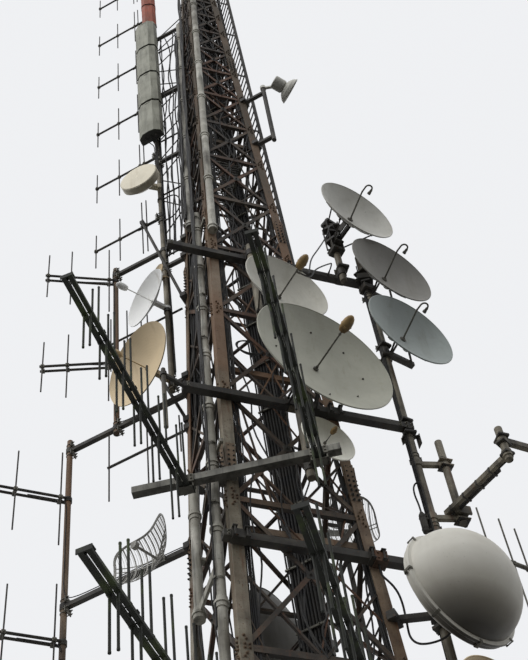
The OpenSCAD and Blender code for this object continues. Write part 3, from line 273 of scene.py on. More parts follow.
class Piece:
    """A piece put together in edit mode from bars, rounds and rings, then given its edges."""

    def __init__(self, name):
        clear_bench()
        self.object = bpy.data.objects.new(name, bpy.data.meshes.new(name))
        scene.collection.objects.link(self.object)
        hold(self.object)
        bpy.ops.object.mode_set(mode="EDIT")

    def _turn(self, place):
        """Moves what was just added to its place."""
        bpy.ops.mesh.select_linked()
        mesh = bmesh.from_edit_mesh(self.object.data)
        picked = [v for v in mesh.verts if v.select]
        bmesh.ops.transform(mesh, matrix=place, verts=picked)
        bpy.ops.mesh.select_all(action="DESELECT")

    def block(self, size, at=(0, 0, 0), place=Matrix()):
        bpy.ops.mesh.primitive_cube_add(size=1)
        self._turn(place @ Matrix.Translation(Vector(at)) @ Matrix.Diagonal((*size, 1)))
        return self

    def bar(self, p, q, wide, high, upright=(0, 0, 1)):
        """A flat bar from p to q, its high side as near upright as it can be."""
        p, q = Vector(p), Vector(q)
        return self.block((high, wide, (q - p).length), place=frame_at((p + q) / 2, q - p, upright))

    def round(self, p, q, radius, sides=16):
        p, q = Vector(p), Vector(q)
        bpy.ops.mesh.primitive_cone_add(vertices=sides, radius1=radius, radius2=radius, depth=(q - p).length)
        self._turn(frame_at((p + q) / 2, q - p))
        return self

    def ring(self, centre, axis, radius, thick, sides=32, around=8):
        bpy.ops.mesh.primitive_torus_add(major_radius=radius, minor_radius=thick, major_segments=sides,
                                         minor_segments=around)
        self._turn(frame_at(centre, axis))
        return self

    def turned(self, outline, steps=48, place=Matrix()):
        """Spins an outline of (radius, height) points round local Z."""
        mesh = bmesh.from_edit_mesh(self.object.data)
        spots = [mesh.verts.new((r, 0, h)) for r, h in outline]
        edges = [mesh.edges.new((a, b)) for a, b in zip(spots, spots[1:])]
        bmesh.update_edit_mesh(self.object.data)
        bpy.ops.mesh.select_all(action="DESELECT")
        for part in spots + edges:
            part.select = True
        bmesh.update_edit_mesh(self.object.data)
        bpy.ops.mesh.spin(steps=steps, angle=2 * math.pi, center=(0, 0, 0), axis=(0, 0, 1))
        bpy.ops.mesh.select_linked()
        bpy.ops.mesh.remove_doubles(threshold=1e-5)
        bpy.ops.mesh.select_linked()
        bpy.ops.mesh.normals_make_consistent(inside=False)
        self._turn(place)
        return self

    def finished(self, edge=0.0, segments=1, limit=40):
        """Bevels the edges that are sharper than the limit, and smooths what is round."""
        hold(self.object)
        if edge:
            bevel = self.object.modifiers.new("edges", "BEVEL")
            bevel.width, bevel.segments, bevel.limit_method = edge, segments, "ANGLE"
            bevel.angle_limit = math.radians(limit)
            bpy.ops.object.modifier_apply(modifier=bevel.name)
        bpy.ops.object.shade_smooth_by_angle(angle=math.radians(35))
        return self.object


def hang(thing, finish):
    """Gives a piece its finish and fixes it to the tower."""
    thing.data.materials.clear()
    thing.data.materials.append(finishes[finish])
    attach(thing, "root")
    return thing


def gather(name, pattern, places, finish):
    """Copies a pattern piece to each place and keeps the copies together as one piece."""
    heap = bmesh.new()
    for place in places:
        copy = pattern.data.copy()
        copy.transform(place)
        heap.from_mesh(copy)
        bpy.data.meshes.remove(copy)
    mesh = bpy.data.meshes.new(name)
    heap.to_mesh(mesh)
    heap.free()
    thing = bpy.data.objects.new(name, mesh)
    scene.collection.objects.link(thing)
    return hang(thing, finish)


def scrap(*patterns):
    """Takes away patterns that have been copied."""
    for pattern in patterns:
        bpy.data.objects.remove(pattern)


def bent_tubes(name, routes, radius, sides, kind="POLY"):
    """One curve with a round tube along each route."""
    clear_bench()
    line = bpy.data.curves.new(name, "CURVE")
    line.dimensions = "3D"
    line.bevel_depth, line.bevel_resolution, line.use_fill_caps = radius, sides, True
    for route in routes:
        run = line.splines.new(kind)
        run.points.add(len(route) - 1)
        for point, spot in zip(run.points, route):
            point.co = (*spot, 1)
    thing = bpy.data.objects.new(name, line)
    scene.collection.objects.link(thing)
    return thing


def as_mesh(thing):
    hold(thing)
    bpy.ops.object.convert(target="MESH")
    bpy.ops.object.shade_smooth_by_angle(angle=math.radians(50))
    return bpy.context.object


def lay_cables(name, routes, radius, finish="black_cable", sides=1):
    """Round cables that lie fixed along the tower, each pulled smooth along the points of its route."""
    thing = bent_tubes(name, routes, radius, sides, "NURBS")
    thing.data.resolution_u = 3
    for run in thing.data.splines:
        run.order_u, run.use_endpoint_u = 3, True
    return hang(as_mesh(thing), finish)


# Free cords

def smoothed(points, steps=4):
    """The curve that the solids follow through a route's points."""
    path = []
    for i in range(len(points) - 1):
        a, b, c = Vector(points[max(i - 1, 0)]), Vector(points[i]), Vector(points[i + 1])
        e = Vector(points[min(i + 2, len(points) - 1)])
        for j in range(steps):
            t = j / steps
            path.append(b + (c - a) * t / 2 + (2 * a - 5 * b + 4 * c - e) * t * t / 2
                        + (3 * b - 3 * c + e - a) * t ** 3 / 2)
    return path + [Vector(points[-1])]


def free_jumper(name, node, diameter, points):
    """A cable that hangs free between two glands; its points are in millimetres, as in the source."""
    path = smoothed([(x / 1000, y / 1000, z / 1000) for x, y, z in points])
    thing = hang(bent_tubes(name, [path], diameter / 2, 4), "black_cable")
    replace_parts(thing, node)


# Finishes

class Finish:
    """A weathered finish: the base colour mottled, streaked down the faces and speckled, with painted shade
    on the faces that look down.
    """

    def __init__(self, name, colour, rough=0.6, metal=0.0):
        self.material = bpy.data.materials.new(name)
        self.material.use_nodes = True
        self.tree = self.material.node_tree
        self.shader = self.tree.nodes["Principled BSDF"]
        self.shader.inputs["Metallic"].default_value = metal
        self.shader.inputs["Specular IOR Level"].default_value = 0.22
        self.coords = self.node("ShaderNodeTexCoord").outputs["Object"]
        start = self.node("ShaderNodeRGB")
        start.outputs[0].default_value = (*colour, 1)
        self.colour = start.outputs[0]
        self.rough_noise(rough)

    def node(self, kind, **settings):
        made = self.tree.nodes.new(kind)
        for key, value in settings.items():
            setattr(made, key, value)
        return made

    def link(self, a, b):
        self.tree.links.new(a, b)

    def noise(self, scale, stretch=(1, 1, 1), detail=4, seed=0.0):
        place = self.node("ShaderNodeMapping")
        place.inputs["Scale"].default_value = stretch
        place.inputs["Location"].default_value = (seed, seed * 0.7, seed * 1.3)
        cloud = self.node("ShaderNodeTexNoise")
        cloud.inputs["Scale"].default_value = scale
        cloud.inputs["Detail"].default_value = detail
        cloud.inputs["Roughness"].default_value = 0.55
        self.link(self.coords, place.inputs["Vector"])
        self.link(place.outputs[0], cloud.inputs["Vector"])
        return cloud.outputs["Fac"]

    def ramp(self, value, low, high):
        spread = self.node("ShaderNodeMapRange", clamp=True)
        spread.inputs["From Min"].default_value = low
        spread.inputs["From Max"].default_value = high
        self.link(value, spread.inputs["Value"])
        return spread.outputs["Result"]

    def product(self, a, b):
        times = self.node("ShaderNodeMath", operation="MULTIPLY")
        self.link(a, times.inputs[0])
        if isinstance(b, (int, float)):
            times.inputs[1].default_value = b
        else:
            self.link(b, times.inputs[1])
        return times.outputs[0]

    def blend(self, mask, colour):
        """Mixes a colour in where the mask is 1; the Mix node's colours are inputs 6 and 7, output 2."""
        mix = self.node("ShaderNodeMix", data_type="RGBA")
        self.link(mask, mix.inputs[0])
        self.link(self.colour, mix.inputs[6])
        mix.inputs[7].default_value = (*colour, 1)
        self.colour = mix.outputs[2]

    def rough_noise(self, rough):
        spread = self.node("ShaderNodeMapRange", clamp=True)
        spread.inputs["To Min"].default_value = max(0.0, rough - 0.14)
        spread.inputs["To Max"].default_value = min(1.0, rough + 0.14)
        self.link(self.noise(9.0, seed=3.1), spread.inputs["Value"])
        self.link(spread.outputs["Result"], self.shader.inputs["Roughness"])

    def mottle(self, colour, scale=2.0, low=0.42, high=0.62, amount=1.0, seed=0.0, stretch=(1, 1, 1)):
        """Soft patches of another colour."""
        self.blend(self.product(self.ramp(self.noise(scale, stretch, seed=seed), low, high), amount), colour)
        return self

    def streaks(self, colour, scale=9.0, low=0.50, high=0.68, amount=0.7, seed=5.0):
        """Stains that run down."""
        return self.mottle(colour, scale, low, high, amount, seed, (1, 1, 0.09))

    def spots(self, colour, scale=45.0, low=0.60, high=0.68, amount=0.8, seed=9.0):
        return self.mottle(colour, scale, low, high, amount, seed)

    def below(self, colour, amount=0.6, start=0.1, end=0.9):
        """Painted shade: a colour laid over the faces that look down."""
        normal = self.node("ShaderNodeNewGeometry").outputs["Normal"]
        split = self.node("ShaderNodeSeparateXYZ")
        self.link(normal, split.inputs[0])
        turned = self.node("ShaderNodeMath", operation="MULTIPLY")
        turned.inputs[1].default_value = -1
        self.link(split.outputs["Z"], turned.inputs[0])
        self.blend(self.product(self.ramp(turned.outputs[0], start, end), amount), colour)
        return self

    def above(self, colour, start, end, amount=0.8):
        """Another colour higher up the tower, mottled into the first."""
        split = self.node("ShaderNodeSeparateXYZ")
        self.link(self.coords, split.inputs[0])
        patch = self.ramp(self.noise(1.1, seed=17.0), 0.22, 0.50)
        higher = self.product(self.ramp(split.outputs["Z"], start, end), patch)
        self.blend(self.product(higher, amount), colour)
        return self

    def done(self, bump=0.3, grain=60.0, distance=0.004):
        """Adds the grain of the surface and gives the material."""
        self.link(self.colour, self.shader.inputs["Base Color"])
        rise = self.node("ShaderNodeBump")
        rise.inputs["Strength"].default_value = bump
        rise.inputs["Distance"].default_value = distance
        self.link(self.noise(grain, detail=6, seed=7.7), rise.inputs["Height"])
        self.link(rise.outputs[0], self.shader.inputs["Normal"])
        return self.material


RUST = (0.105, 0.042, 0.018)
# Dark grime for streaks and spots, also the colour of the painted shade on faces that look down
GRIME_AND_SHADE = (0.022, 0.020, 0.017)


def leg_paint(name, colour, light, dark):
    """Old paint, browner from the third beam up and darkest at the top."""
    finish = Finish(name, colour, 0.66).mottle(light, 1.3).mottle(dark, 3.0, seed=2.0, amount=0.75)
    finish.mottle((0.115, 0.052, 0.026), 0.8, 0.54, 0.70, 0.6, 13.0).streaks(GRIME_AND_SHADE, amount=0.6)
    finish.above((0.185, 0.108, 0.062), 13.2, 14.4).above((0.070, 0.058, 0.040), 17.5, 20.0, 0.9)
    finish.streaks(RUST, 14.0, 0.58, 0.74, 0.7, 11.0).spots(RUST, 60.0)
    # below lays painted shade, in the grime colour, over the faces that look down
    return finish.spots(GRIME_AND_SHADE, 28.0, 0.62, 0.70, 0.6, 4.0).below(GRIME_AND_SHADE).done(0.4)


def bracing_paint():
    finish = Finish("grimy_bracing_paint", (0.060, 0.046, 0.034), 0.66)
    finish.mottle((0.118, 0.090, 0.062), 0.9, 0.5, 0.66)
    finish.mottle((0.026, 0.022, 0.018), 2.2, seed=4.0, amount=0.85)
    finish.mottle((0.112, 0.054, 0.030), 0.7, 0.50, 0.62, 0.75, 21.0).streaks(RUST, 12.0, 0.58, 0.72, 0.65)
    finish.spots(RUST, 34.0, 0.60, 0.68, 0.6, 2.0).spots((0.012, 0.011, 0.010), 70.0)
    # below lays painted shade, in the grime colour, over the faces that look down
    return finish.below(GRIME_AND_SHADE, 0.75).done(0.4)


def dark_steel():
    finish = Finish("grimy_dark_steel", (0.034, 0.032, 0.027), 0.6).mottle((0.066, 0.060, 0.048), 1.7)
    finish.mottle((0.017, 0.015, 0.013), 4.0, seed=2.0).streaks((0.085, 0.077, 0.062), 16.0, 0.60, 0.76, 0.4)
    return finish.spots(RUST, 50.0, 0.62, 0.70, 0.6).done()


def galvanised():
    finish = Finish("dull_galvanised", (0.150, 0.142, 0.112), 0.55, 0.15).mottle((0.215, 0.205, 0.170), 5.0)
    finish.mottle((0.075, 0.069, 0.052), 1.6, seed=6.0, amount=0.7).streaks(GRIME_AND_SHADE, 12.0, 0.52, 0.70, 0.7)
    # below lays painted shade, in the grime colour, over the faces that look down
    return finish.spots(RUST, 55.0, 0.62, 0.70, 0.5).below(GRIME_AND_SHADE, 0.5).done()


def pole_paint():
    finish = Finish("weathered_pole", (0.200, 0.175, 0.128), 0.6).mottle((0.275, 0.245, 0.185), 1.4)
    finish.mottle((0.070, 0.062, 0.046), 2.6, seed=6.0, amount=0.8).streaks(GRIME_AND_SHADE, 10.0, 0.50, 0.66, 0.75)
    return finish.streaks(RUST, 15.0, 0.60, 0.74, 0.6, 8.0).spots(RUST, 55.0, 0.62, 0.70, 0.5).done()


def grey_pipe():
    finish = Finish("weathered_grey_pipe", (0.225, 0.218, 0.182), 0.62).mottle((0.345, 0.335, 0.285), 2.4)
    finish.mottle((0.060, 0.056, 0.045), 1.1, seed=3.0, amount=0.85).streaks(GRIME_AND_SHADE, 14.0, 0.48, 0.68, 0.7)
    # below lays painted shade, in the grime colour, over the faces that look down
    return finish.spots(RUST, 60.0, 0.63, 0.70, 0.5).below(GRIME_AND_SHADE, 0.6).done()


def conduit_paint():
    finish = Finish("pale_conduit", (0.345, 0.328, 0.272), 0.6).mottle((0.52, 0.50, 0.43), 2.6, 0.50, 0.66)
    finish.mottle((0.105, 0.092, 0.070), 1.3, 0.50, 0.66, 0.85, 3.0).streaks(GRIME_AND_SHADE, 13.0, 0.50, 0.68, 0.7)
    return finish.streaks(RUST, 20.0, 0.60, 0.74, 0.5, 8.0).spots(GRIME_AND_SHADE, 46.0, 0.63, 0.70, 0.6).done()


def green_metal():
    finish = Finish("algae_dark_green", (0.011, 0.012, 0.008), 0.62)
    finish.mottle((0.040, 0.052, 0.018), 3.5, 0.52, 0.66).spots((0.075, 0.080, 0.050), 80.0, 0.66, 0.74, 0.5)
    return finish.streaks((0.009, 0.009, 0.008), 18.0, 0.5, 0.7, 0.6).done()


def dish_paint(name, colour, shade=0.35):
    light = tuple(0.80 * c for c in colour)
    mid = tuple(c * w for c, w in zip(colour, (0.46, 0.42, 0.33)))
    finish = Finish(name, colour, 0.6).mottle(light, 1.6, amount=0.75).streaks(mid, 7.0, 0.54, 0.80, 0.28)
    finish.streaks(mid, 22.0, 0.60, 0.78, 0.22, 1.0).spots(mid, 90.0, 0.64, 0.74, 0.5)
    # below lays painted shade over the faces that look down; shade sets how strong it is
    return finish.spots(mid, 6.0, 0.58, 0.80, 0.30, 6.0).below(GRIME_AND_SHADE, shade).done(0.12, 30.0)


def white_cover():
    finish = Finish("weathered_white_cover", (0.70, 0.67, 0.585), 0.55)
    finish.mottle((0.56, 0.525, 0.44), 1.2, amount=0.7).streaks((0.26, 0.23, 0.17), 5.0, 0.54, 0.82, 0.25)
    finish.spots((0.14, 0.12, 0.085), 40.0, 0.66, 0.76, 0.4)
    # Two layers of painted shade: a warm grey over faces that look a little down, then near black over those
    # that look most down
    finish.below((0.20, 0.178, 0.138), 0.78, -0.10, 0.72).below((0.012, 0.011, 0.009), 0.9, 0.45, 0.95)
    return finish.done(0.1, 24.0)


def bright_shell(name, colour, shade):
    stain = tuple(c * w for c, w in zip(colour, (0.40, 0.34, 0.24)))
    finish = Finish(name, colour, 0.55).mottle(tuple(0.84 * c for c in colour), 1.5, amount=0.7)
    finish.streaks(stain, 6.0, 0.56, 0.76, 0.45).spots(stain, 60.0, 0.66, 0.76, 0.4)
    # below lays painted shade over the faces that look down; shade sets how strong it is
    return finish.below(GRIME_AND_SHADE, shade).done(0.12, 28.0)


def panel_cover(name, colour, worn):
    finish = Finish(name, colour, 0.6).mottle(worn, 1.8, amount=0.8)
    finish.streaks((0.055, 0.052, 0.042), 10.0, 0.50, 0.72, 0.5)
    finish.streaks((0.05, 0.045, 0.035), 24.0, 0.58, 0.72, 0.5, 2.0)
    finish.spots((0.05, 0.042, 0.032), 70.0, 0.64, 0.72, 0.5)
    # below lays near-black painted shade over the faces that look down, under the covers
    return finish.below((0.012, 0.011, 0.010), 0.92, 0.25, 0.8).done(0.15, 40.0)


def cable_jacket():
    finish = Finish("dusty_cable_jacket", (0.011, 0.011, 0.011), 0.6).mottle((0.020, 0.018, 0.015), 6.0)
    return finish.streaks((0.040, 0.035, 0.027), 20.0, 0.60, 0.76, 0.4).done(0.2, 120.0, 0.002)


def feed_cover():
    finish = Finish("tan_feed_cover", (0.36, 0.235, 0.090), 0.5).mottle((0.15, 0.090, 0.034), 7.0)
    # below lays painted shade, in the grime colour, over the faces that look down
    return finish.streaks(GRIME_AND_SHADE, 14.0, 0.52, 0.72, 0.5).below(GRIME_AND_SHADE, 0.45).done(0.2, 60.0)


def feed_tube():
    finish = Finish("grey_feed_tube", (0.085, 0.080, 0.066), 0.55).mottle((0.13, 0.122, 0.10), 6.0)
    return finish.streaks(GRIME_AND_SHADE, 18.0, 0.5, 0.7, 0.5).done(0.2, 60.0)


def grid_wire():
    finish = Finish("dull_grid_wire", (0.36, 0.35, 0.315), 0.55, 0.1).mottle((0.21, 0.20, 0.175), 4.0)
    return finish.spots(RUST, 60.0, 0.62, 0.7, 0.5).done(0.2, 90.0, 0.002)


finishes = {
    "brown_paint": leg_paint("weathered_leg_paint", (0.170, 0.118, 0.074), (0.235, 0.175, 0.118),
                             (0.090, 0.062, 0.041)),
    "khaki_leg": leg_paint("weathered_khaki_paint", (0.172, 0.148, 0.104), (0.275, 0.245, 0.185),
                           (0.092, 0.076, 0.052)),
    "rusty_block": leg_paint("rusty_block", (0.120, 0.060, 0.034), (0.165, 0.090, 0.052),
                             (0.060, 0.034, 0.022)),
    "galvanised": galvanised(),
    "dark_steel": dark_steel(),
    "green_metal": green_metal(),
    "pale_shell": dish_paint("matt_dish_paint", (0.62, 0.600, 0.530)),
    "blue_grey_shell": dish_paint("blue_grey_dish_paint", (0.345, 0.372, 0.345), 0.4),
    "white_cover": white_cover(),
    "cream_shell": bright_shell("weathered_cream_shell", (0.70, 0.55, 0.34), 0.6),
    "feed_metal": feed_cover(),
    "grid_wire": grid_wire(),
    "black_cable": cable_jacket(),
    "grey_pipe": grey_pipe(),
    "grey_green_cover": panel_cover("grey_green_cover", (0.350, 0.345, 0.275), (0.215, 0.212, 0.165)),
    "orange_cover": panel_cover("faded_orange_cover", (0.36, 0.085, 0.042), (0.25, 0.072, 0.040)),
    "feed_tube": feed_tube(),
    "pole": pole_paint(),
    "conduit": conduit_paint(),
    "shaded_dish": dish_paint("shaded_dish_paint", (0.285, 0.272, 0.240), 0.45),
    "large_dish": dish_paint("olive_dish_paint", (0.455, 0.445, 0.360), 0.3),
    "small_dish": dish_paint("bright_dish_paint", (0.93, 0.90, 0.77), 0.15),
    "rear_dish": dish_paint("rear_dish_paint", (0.66, 0.635, 0.545), 0.3),
    "back_dish": dish_paint("grimy_dish_paint", (0.100, 0.092, 0.074), 0.5),
    "white_dish": bright_shell("bright_white_shell", (0.88, 0.87, 0.83), 0.25),
    "drum": bright_shell("bright_cream_face", (0.88, 0.80, 0.62), 0.35),
    "bracing": bracing_paint(),
}
# Nodes that look otherwise than their slot's usual finish
worn_as = {
    "bracing_front": "bracing", "bracing_right": "bracing",
    "bracing_back": "bracing", "bracing_left": "bracing",
    "conduit": "conduit", "leg_front": "khaki_leg", "leg_left": "khaki_leg", "dish_middle": "shaded_dish",
    "large_dish": "large_dish", "small_dish": "small_dish", "rear_large_dish": "rear_dish",
    "back_dish": "back_dish", "white_dish": "white_dish", "drum_dish": "drum", "dish_pole": "pole",
    "stub_poles": "pole", "side_pole": "pole", "left_mast": "pole",
}
slot_of = {row["node"]: row["material_slot"] for row in frame["record"]["subparts"]}
for node, part in frame["nodes"].items():
    part.data.materials.clear()
    part.data.materials.append(finishes[worn_as.get(node, slot_of[node])])


# Small parts that are used again and again

def hex_bolt(name="hex_bolt", across=0.024, head=0.013):
    """A bolt head on its washer, with the shank's end on top; local Z points out of the plate."""
    made = Piece(name).round((0, 0, 0), (0, 0, 0.003), across * 0.78, 12)
    made.round((0, 0, 0.002), (0, 0, 0.003 + head), across / 2, 6)
    made.round((0, 0, head), (0, 0, head + 0.010), across * 0.27, 8)
    return made.finished(0.0012)


def u_bolt(radius, name):
    """Two bars bent round a pole into one, local Z along the pole and local X the way the nuts face."""
    made, bend, end = Piece(name), radius + 0.002, radius + 0.052
    arc = [math.radians(a) for a in range(90, 271, 15)]
    spots = [(end, bend)] + [(bend * math.cos(a), bend * math.sin(a)) for a in arc] + [(end, -bend)]
    for h in (-0.028, 0.028):
        for (x0, y0), (x1, y1) in zip(spots, spots[1:]):
            made.round((x0, y0, h), (x1, y1, h), 0.007, 8)
        for y in (-bend, bend):
            made.round((radius + 0.022, y, h), (radius + 0.036, y, h), 0.014, 6)
    made.block((0.012, 2 * radius + 0.05, 0.085), (radius + 0.014, 0, 0))
    return made.finished(0.0015)


def band(radius, name, high=0.020):
    """A worm-drive strap round a pipe."""
    inner, outer, half = radius, radius + 0.003, high / 2
    section = [(inner, -half), (outer, -half), (outer, half), (inner, half), (inner, -half)]
    made = Piece(name).turned(section, 24)
    made.block((0.016, 0.040, high + 0.006), (radius + 0.008, 0, 0))
    made.round((radius + 0.010, -0.030, 0), (radius + 0.010, 0.026, 0), 0.006, 8)
    return made.finished(0.001)


def leg_face(i, side, along, z, out=0.0):
    """A place on a leg's outer face; local Z points outward and local X up."""
    flat = on_leg(i, along, -out, z) if side == 0 else on_leg(i, -out, along, z)
    normal = Vector((0, -1, 0)) if side == 0 else Vector((-1, 0, 0))
    normal.rotate(Quaternion((0, 0, 1), i * math.pi / 2))
    return frame_at(flat, normal - Vector((0, 0, BATTER)))


# Bolts, splices and feet of the lattice

def bolt_the_lattice():
    """The bolts that hold the level bars and the crossed bars to the legs."""
    bolt, places = hex_bolt(), []
    for i in range(4):
        for side in (0, 1):
            for n in range(PANELS + 1):
                z = 0.15 if n == 0 else TOWER_H - 0.05 if n == PANELS else level(n)
                steps = [(-0.022, 0.045), (0.022, 0.045), (-0.022, 0.090), (0.022, 0.090)]
                if 0 < n < PANELS:
                    steps += [(0.085, 0.06), (-0.085, 0.06), (0.125, 0.04), (-0.125, 0.04)]
                places += [leg_face(i, side, a, z + dz) for dz, a in steps]
    half = len(places) // 2
    gather("lattice_bolts_1", bolt, places[:half], "brown_paint")
    gather("lattice_bolts_2", bolt, places[half:], "brown_paint")
    scrap(bolt)


def splice_the_legs():
    thick, places, bolts = 0.010, [], []
    plate = Piece("splice_plate").block((0.62, 0.098, thick), (0, 0, thick / 2)).finished(0.003)
    bolt = hex_bolt()
    for i in range(4):
        for side in (0, 1):
            for z in (6.35, 12.72, 18.2, 24.3):
                places.append(leg_face(i, side, 0.06, z))
                bolts += [leg_face(i, side, 0.06 + s * 0.027, z + dz, thick) for s in (-1, 1)
                          for dz in (-0.27, -0.19, -0.11, -0.04, 0.04, 0.11, 0.19, 0.27)]
    gather("splice_plates", plate, places, "brown_paint")
    gather("splice_bolts", bolt, bolts, "dark_steel")
    scrap(plate, bolt)


def plate_the_crossings():
    """A small plate with a bolt where the crossed bars of each panel meet."""
    thick, places = 0.006, []
    plate = Piece("cross_plate").block((0.10, 0.085, thick), (0, 0, thick / 2)).finished(0.002)
    bolt = hex_bolt()
    for i in range(4):
        for n in range(PANELS):
            low, high = (0.15 if n == 0 else level(n)), level(n + 1)
            share = (BASE_W / 2 - BATTER * low) / (BASE_W - BATTER * (low + high))
            z = low + (high - low) * share
            places.append(leg_face(i, 0, MIDDLE - corner(z), z, -0.0122))
    gather("cross_plates", plate, places, "dark_steel")
    gather("cross_bolts", bolt, [place @ Matrix.Translation((0, 0, thick)) for place in places], "dark_steel")
    scrap(plate, bolt)


def at_foot(i, x, y):
    """A place on the top of the base plate of leg i."""
    turn = Matrix.Translation((MIDDLE, MIDDLE, 0)) @ Matrix.Rotation(i * math.pi / 2, 4, "Z")
    return turn @ Matrix.Translation((x - MIDDLE, y - MIDDLE, PLATE))


def fix_the_feet():
    """Anchor nuts and ribs on the base plates."""
    nut, half = hex_bolt("anchor_nut", 0.040, 0.022), 0.13
    places = [at_foot(i, x, y) for i in range(4) for x in (-half, half) for y in (-half, half)]
    gather("anchor_nuts", nut, places, "galvanised")
    rib = Piece("foot_rib").block((0.10, 0.010, 0.14), (0.05, 0, 0.07))
    mesh = bmesh.from_edit_mesh(rib.object.data)
    for v in mesh.verts:
        if v.co.x > 0.05 and v.co.z > 0.05:
            v.co.x = 0.02
    bmesh.update_edit_mesh(rib.object.data)
    rib = rib.finished(0.002)
    places = [at_foot(i, x, y) @ Matrix.Rotation(math.radians(a), 4, "Z")
              for i in range(4) for x, y, a in ((0.02, -0.034, -90), (-0.034, 0.02, 180))]
    gather("foot_ribs", rib, places, "brown_paint")
    scrap(nut, rib)


# Cables that are tied along the legs, beams and poles

def riser(i, x, y, low, high, sway):
    """A cable up the inside of leg i, tied every 0.55 m and swaying a little."""
    route, z = [], low
    while z < high:
        route.append(on_leg(i, x + chance.uniform(-sway, sway), y + chance.uniform(-sway, sway), z))
        z += 0.55
    return route + [on_leg(i, x, y, high)]


def tie_the_cables():
    thick, thin = [], []
    for n in range(9):
        x, y = 0.065 + 0.034 * (n % 3), 0.060 + 0.036 * (n // 3)
        thick.append(riser(0, x, y, 13.6 + 0.35 * n, 29.3 - 0.5 * (n % 4), 0.010))
    for n in range(11):
        x, y = 0.055 + 0.036 * (n % 4), 0.060 + 0.040 * (n // 4)
        thick.append(riser(3, x, y, 12.9 + 0.3 * n, 29.4 - 0.7 * (n % 5), 0.013))
    for n in range(6):
        thick.append(riser(2, 0.05 + 0.04 * (n % 3), 0.05 + 0.05 * (n // 3), 15.5, 28.8 - 0.6 * n, 0.012))
    for n in range(8):
        thin.append(riser(0, 0.14 + 0.020 * (n % 4), 0.028 + 0.022 * (n // 4), 2.6, 28.6 - 0.8 * n, 0.008))
        thin.append(riser(1, 0.030 + 0.018 * (n % 4), 0.125 + 0.02 * (n // 4), 2.6, 27.5 - 0.6 * n, 0.008))
    lay_cables("leg_cables", thick, 0.0145, sides=2)
    lay_cables("leg_leads", thin, 0.0075)


def strap_the_cables():
    """Straps round the bundles in two legs, and cleats across the feeders in the back one."""
    strap, places = Piece("cable_strap").block((0.13, 0.125, 0.016)).finished(0.004), []
    for i, z in ((0, 13.9), (3, 13.2)):
        while z < 27.5:
            places.append(standing(on_leg(i, 0.10, 0.10, z), z, 90 * i))
            z += 0.62
    gather("cable_straps", strap, places, "dark_steel")
    cleat = Piece("feeder_cleat").block((0.020, 0.34, 0.030))
    for y in (-0.11, 0.11):
        cleat.round((0, y, 0), (0.03, y, 0), 0.008, 8)
    cleat, places = cleat.finished(0.003), []
    for n in range(29):
        spot = on_leg(2, 0.287, 0.287, 0.95 + 0.90 * n)
        places.append(standing(spot, spot.z, 225))
    gather("feeder_cleats", cleat, places, "galvanised")
    scrap(strap, cleat)


def down_pole(pole, radius, azimuth, high, low, step=0.5):
    """A run straight down one side of a pole."""
    out = way(azimuth) * (radius + 0.010)
    count = max(2, int((high - low) / step) + 1)
    return [Vector((pole.x + out.x, pole.y + out.y, high + (low - high) * n / (count - 1)))
            for n in range(count)]


def off_the_boom(pole, z, azimuth, beside, reaches):
    """The first stretch of a lead: along the underside of a boom, in to its pole."""
    spot = Vector((pole.x, pole.y, z))
    return [spot + way(azimuth) * r + beside for r in reaches]


def tie_the_antenna_leads():
    """Leads of the yagis: along the boom, down the pole and over an arm to the left leg."""
    routes = []
    for z in STACKED_YAGIS:
        low = max(a for a in MAST_ARMS if a < z - 0.3)
        start = off_the_boom(mast, z - 0.026, 135, way(45) * 0.012, (0.42, 0.25, 0.10, 0.052))
        run = down_pole(mast, MAST, 75, z - 0.09, low + 0.08)
        arm, edge = Vector((mast.x, mast.y, low + 0.042)), on_leg(3, 0.03, 0.03, low + 0.036)
        routes.append(start + run + [arm + way(-45) * 0.05, edge.lerp(arm, 0.5), edge,
                                     on_leg(3, 0.06, 0.06, low - 0.15), on_leg(3, 0.07, 0.07, low - 1.2)])
    for pole, z, azimuth, low in (
            (pole_2, 19.2, 168, 15.74), (pole_2, 17.1, 168, 15.74),
            (pole_3, 14.75, 181, 12.99), (pole_3, 12.4, 181, None)):
        start = off_the_boom(pole, z - 0.028, azimuth, way(azimuth + 90) * 0.014, (0.5, 0.3, 0.12, 0.052))
        if low is None:
            routes.append(start + down_pole(pole, MAST, azimuth + 60, z - 0.10, 12.25))
            continue
        run = down_pole(pole, MAST, azimuth + 60, z - 0.10, low + 0.06)
        edge, far = on_leg(3, 0.02, 0.02, low + 0.034), Vector((pole.x, pole.y, low + 0.036))
        routes.append(start + run + [far.lerp(edge, t) for t in (0.08, 0.3, 0.55, 0.8, 1)]
                      + [on_leg(3, 0.07, 0.05, low - 0.2), on_leg(3, 0.07, 0.05, low - 1.5)])
    lay_cables("antenna_leads", routes, 0.0065)


def tie_the_beam_leads():
    """Leads down the two dish poles, behind the beams' top edges and along the yards."""
    routes = []
    for n, azimuth in enumerate((150, 172, 196, 214)):
        routes.append(down_pole(main_pole, POLE, azimuth, 17.5 - 0.3 * n, 11.6 + 0.02 * n, 0.4))
    routes.append(down_pole(cover_pole, POLE, 120, 11.3, 9.3, 0.3))
    end = 2.45
    for beam, start in zip(BEAMS, (0.7, 0.55, 0.45)):
        z = beam[0]
        for n in range(3):
            y = beam_back(z) - 0.03 - 0.022 * n
            routes.append([Vector((start + (end - start) * t / 8, y + chance.uniform(-0.003, 0.003),
                                   z + BEAM / 2 + 0.008)) for t in range(9)])
    lay_cables("beam_leads", routes, 0.0085)
    along_yards = [[at_yard(z) @ Vector((-0.90 + 0.2 * t, -0.03 - 0.03 * n, 0.053)) for t in range(11)]
                   for z in YARDS for n in range(2)]
    lay_cables("yard_leads", along_yards, 0.008)


# Clamps, straps and fittings on the poles, pipes and beams

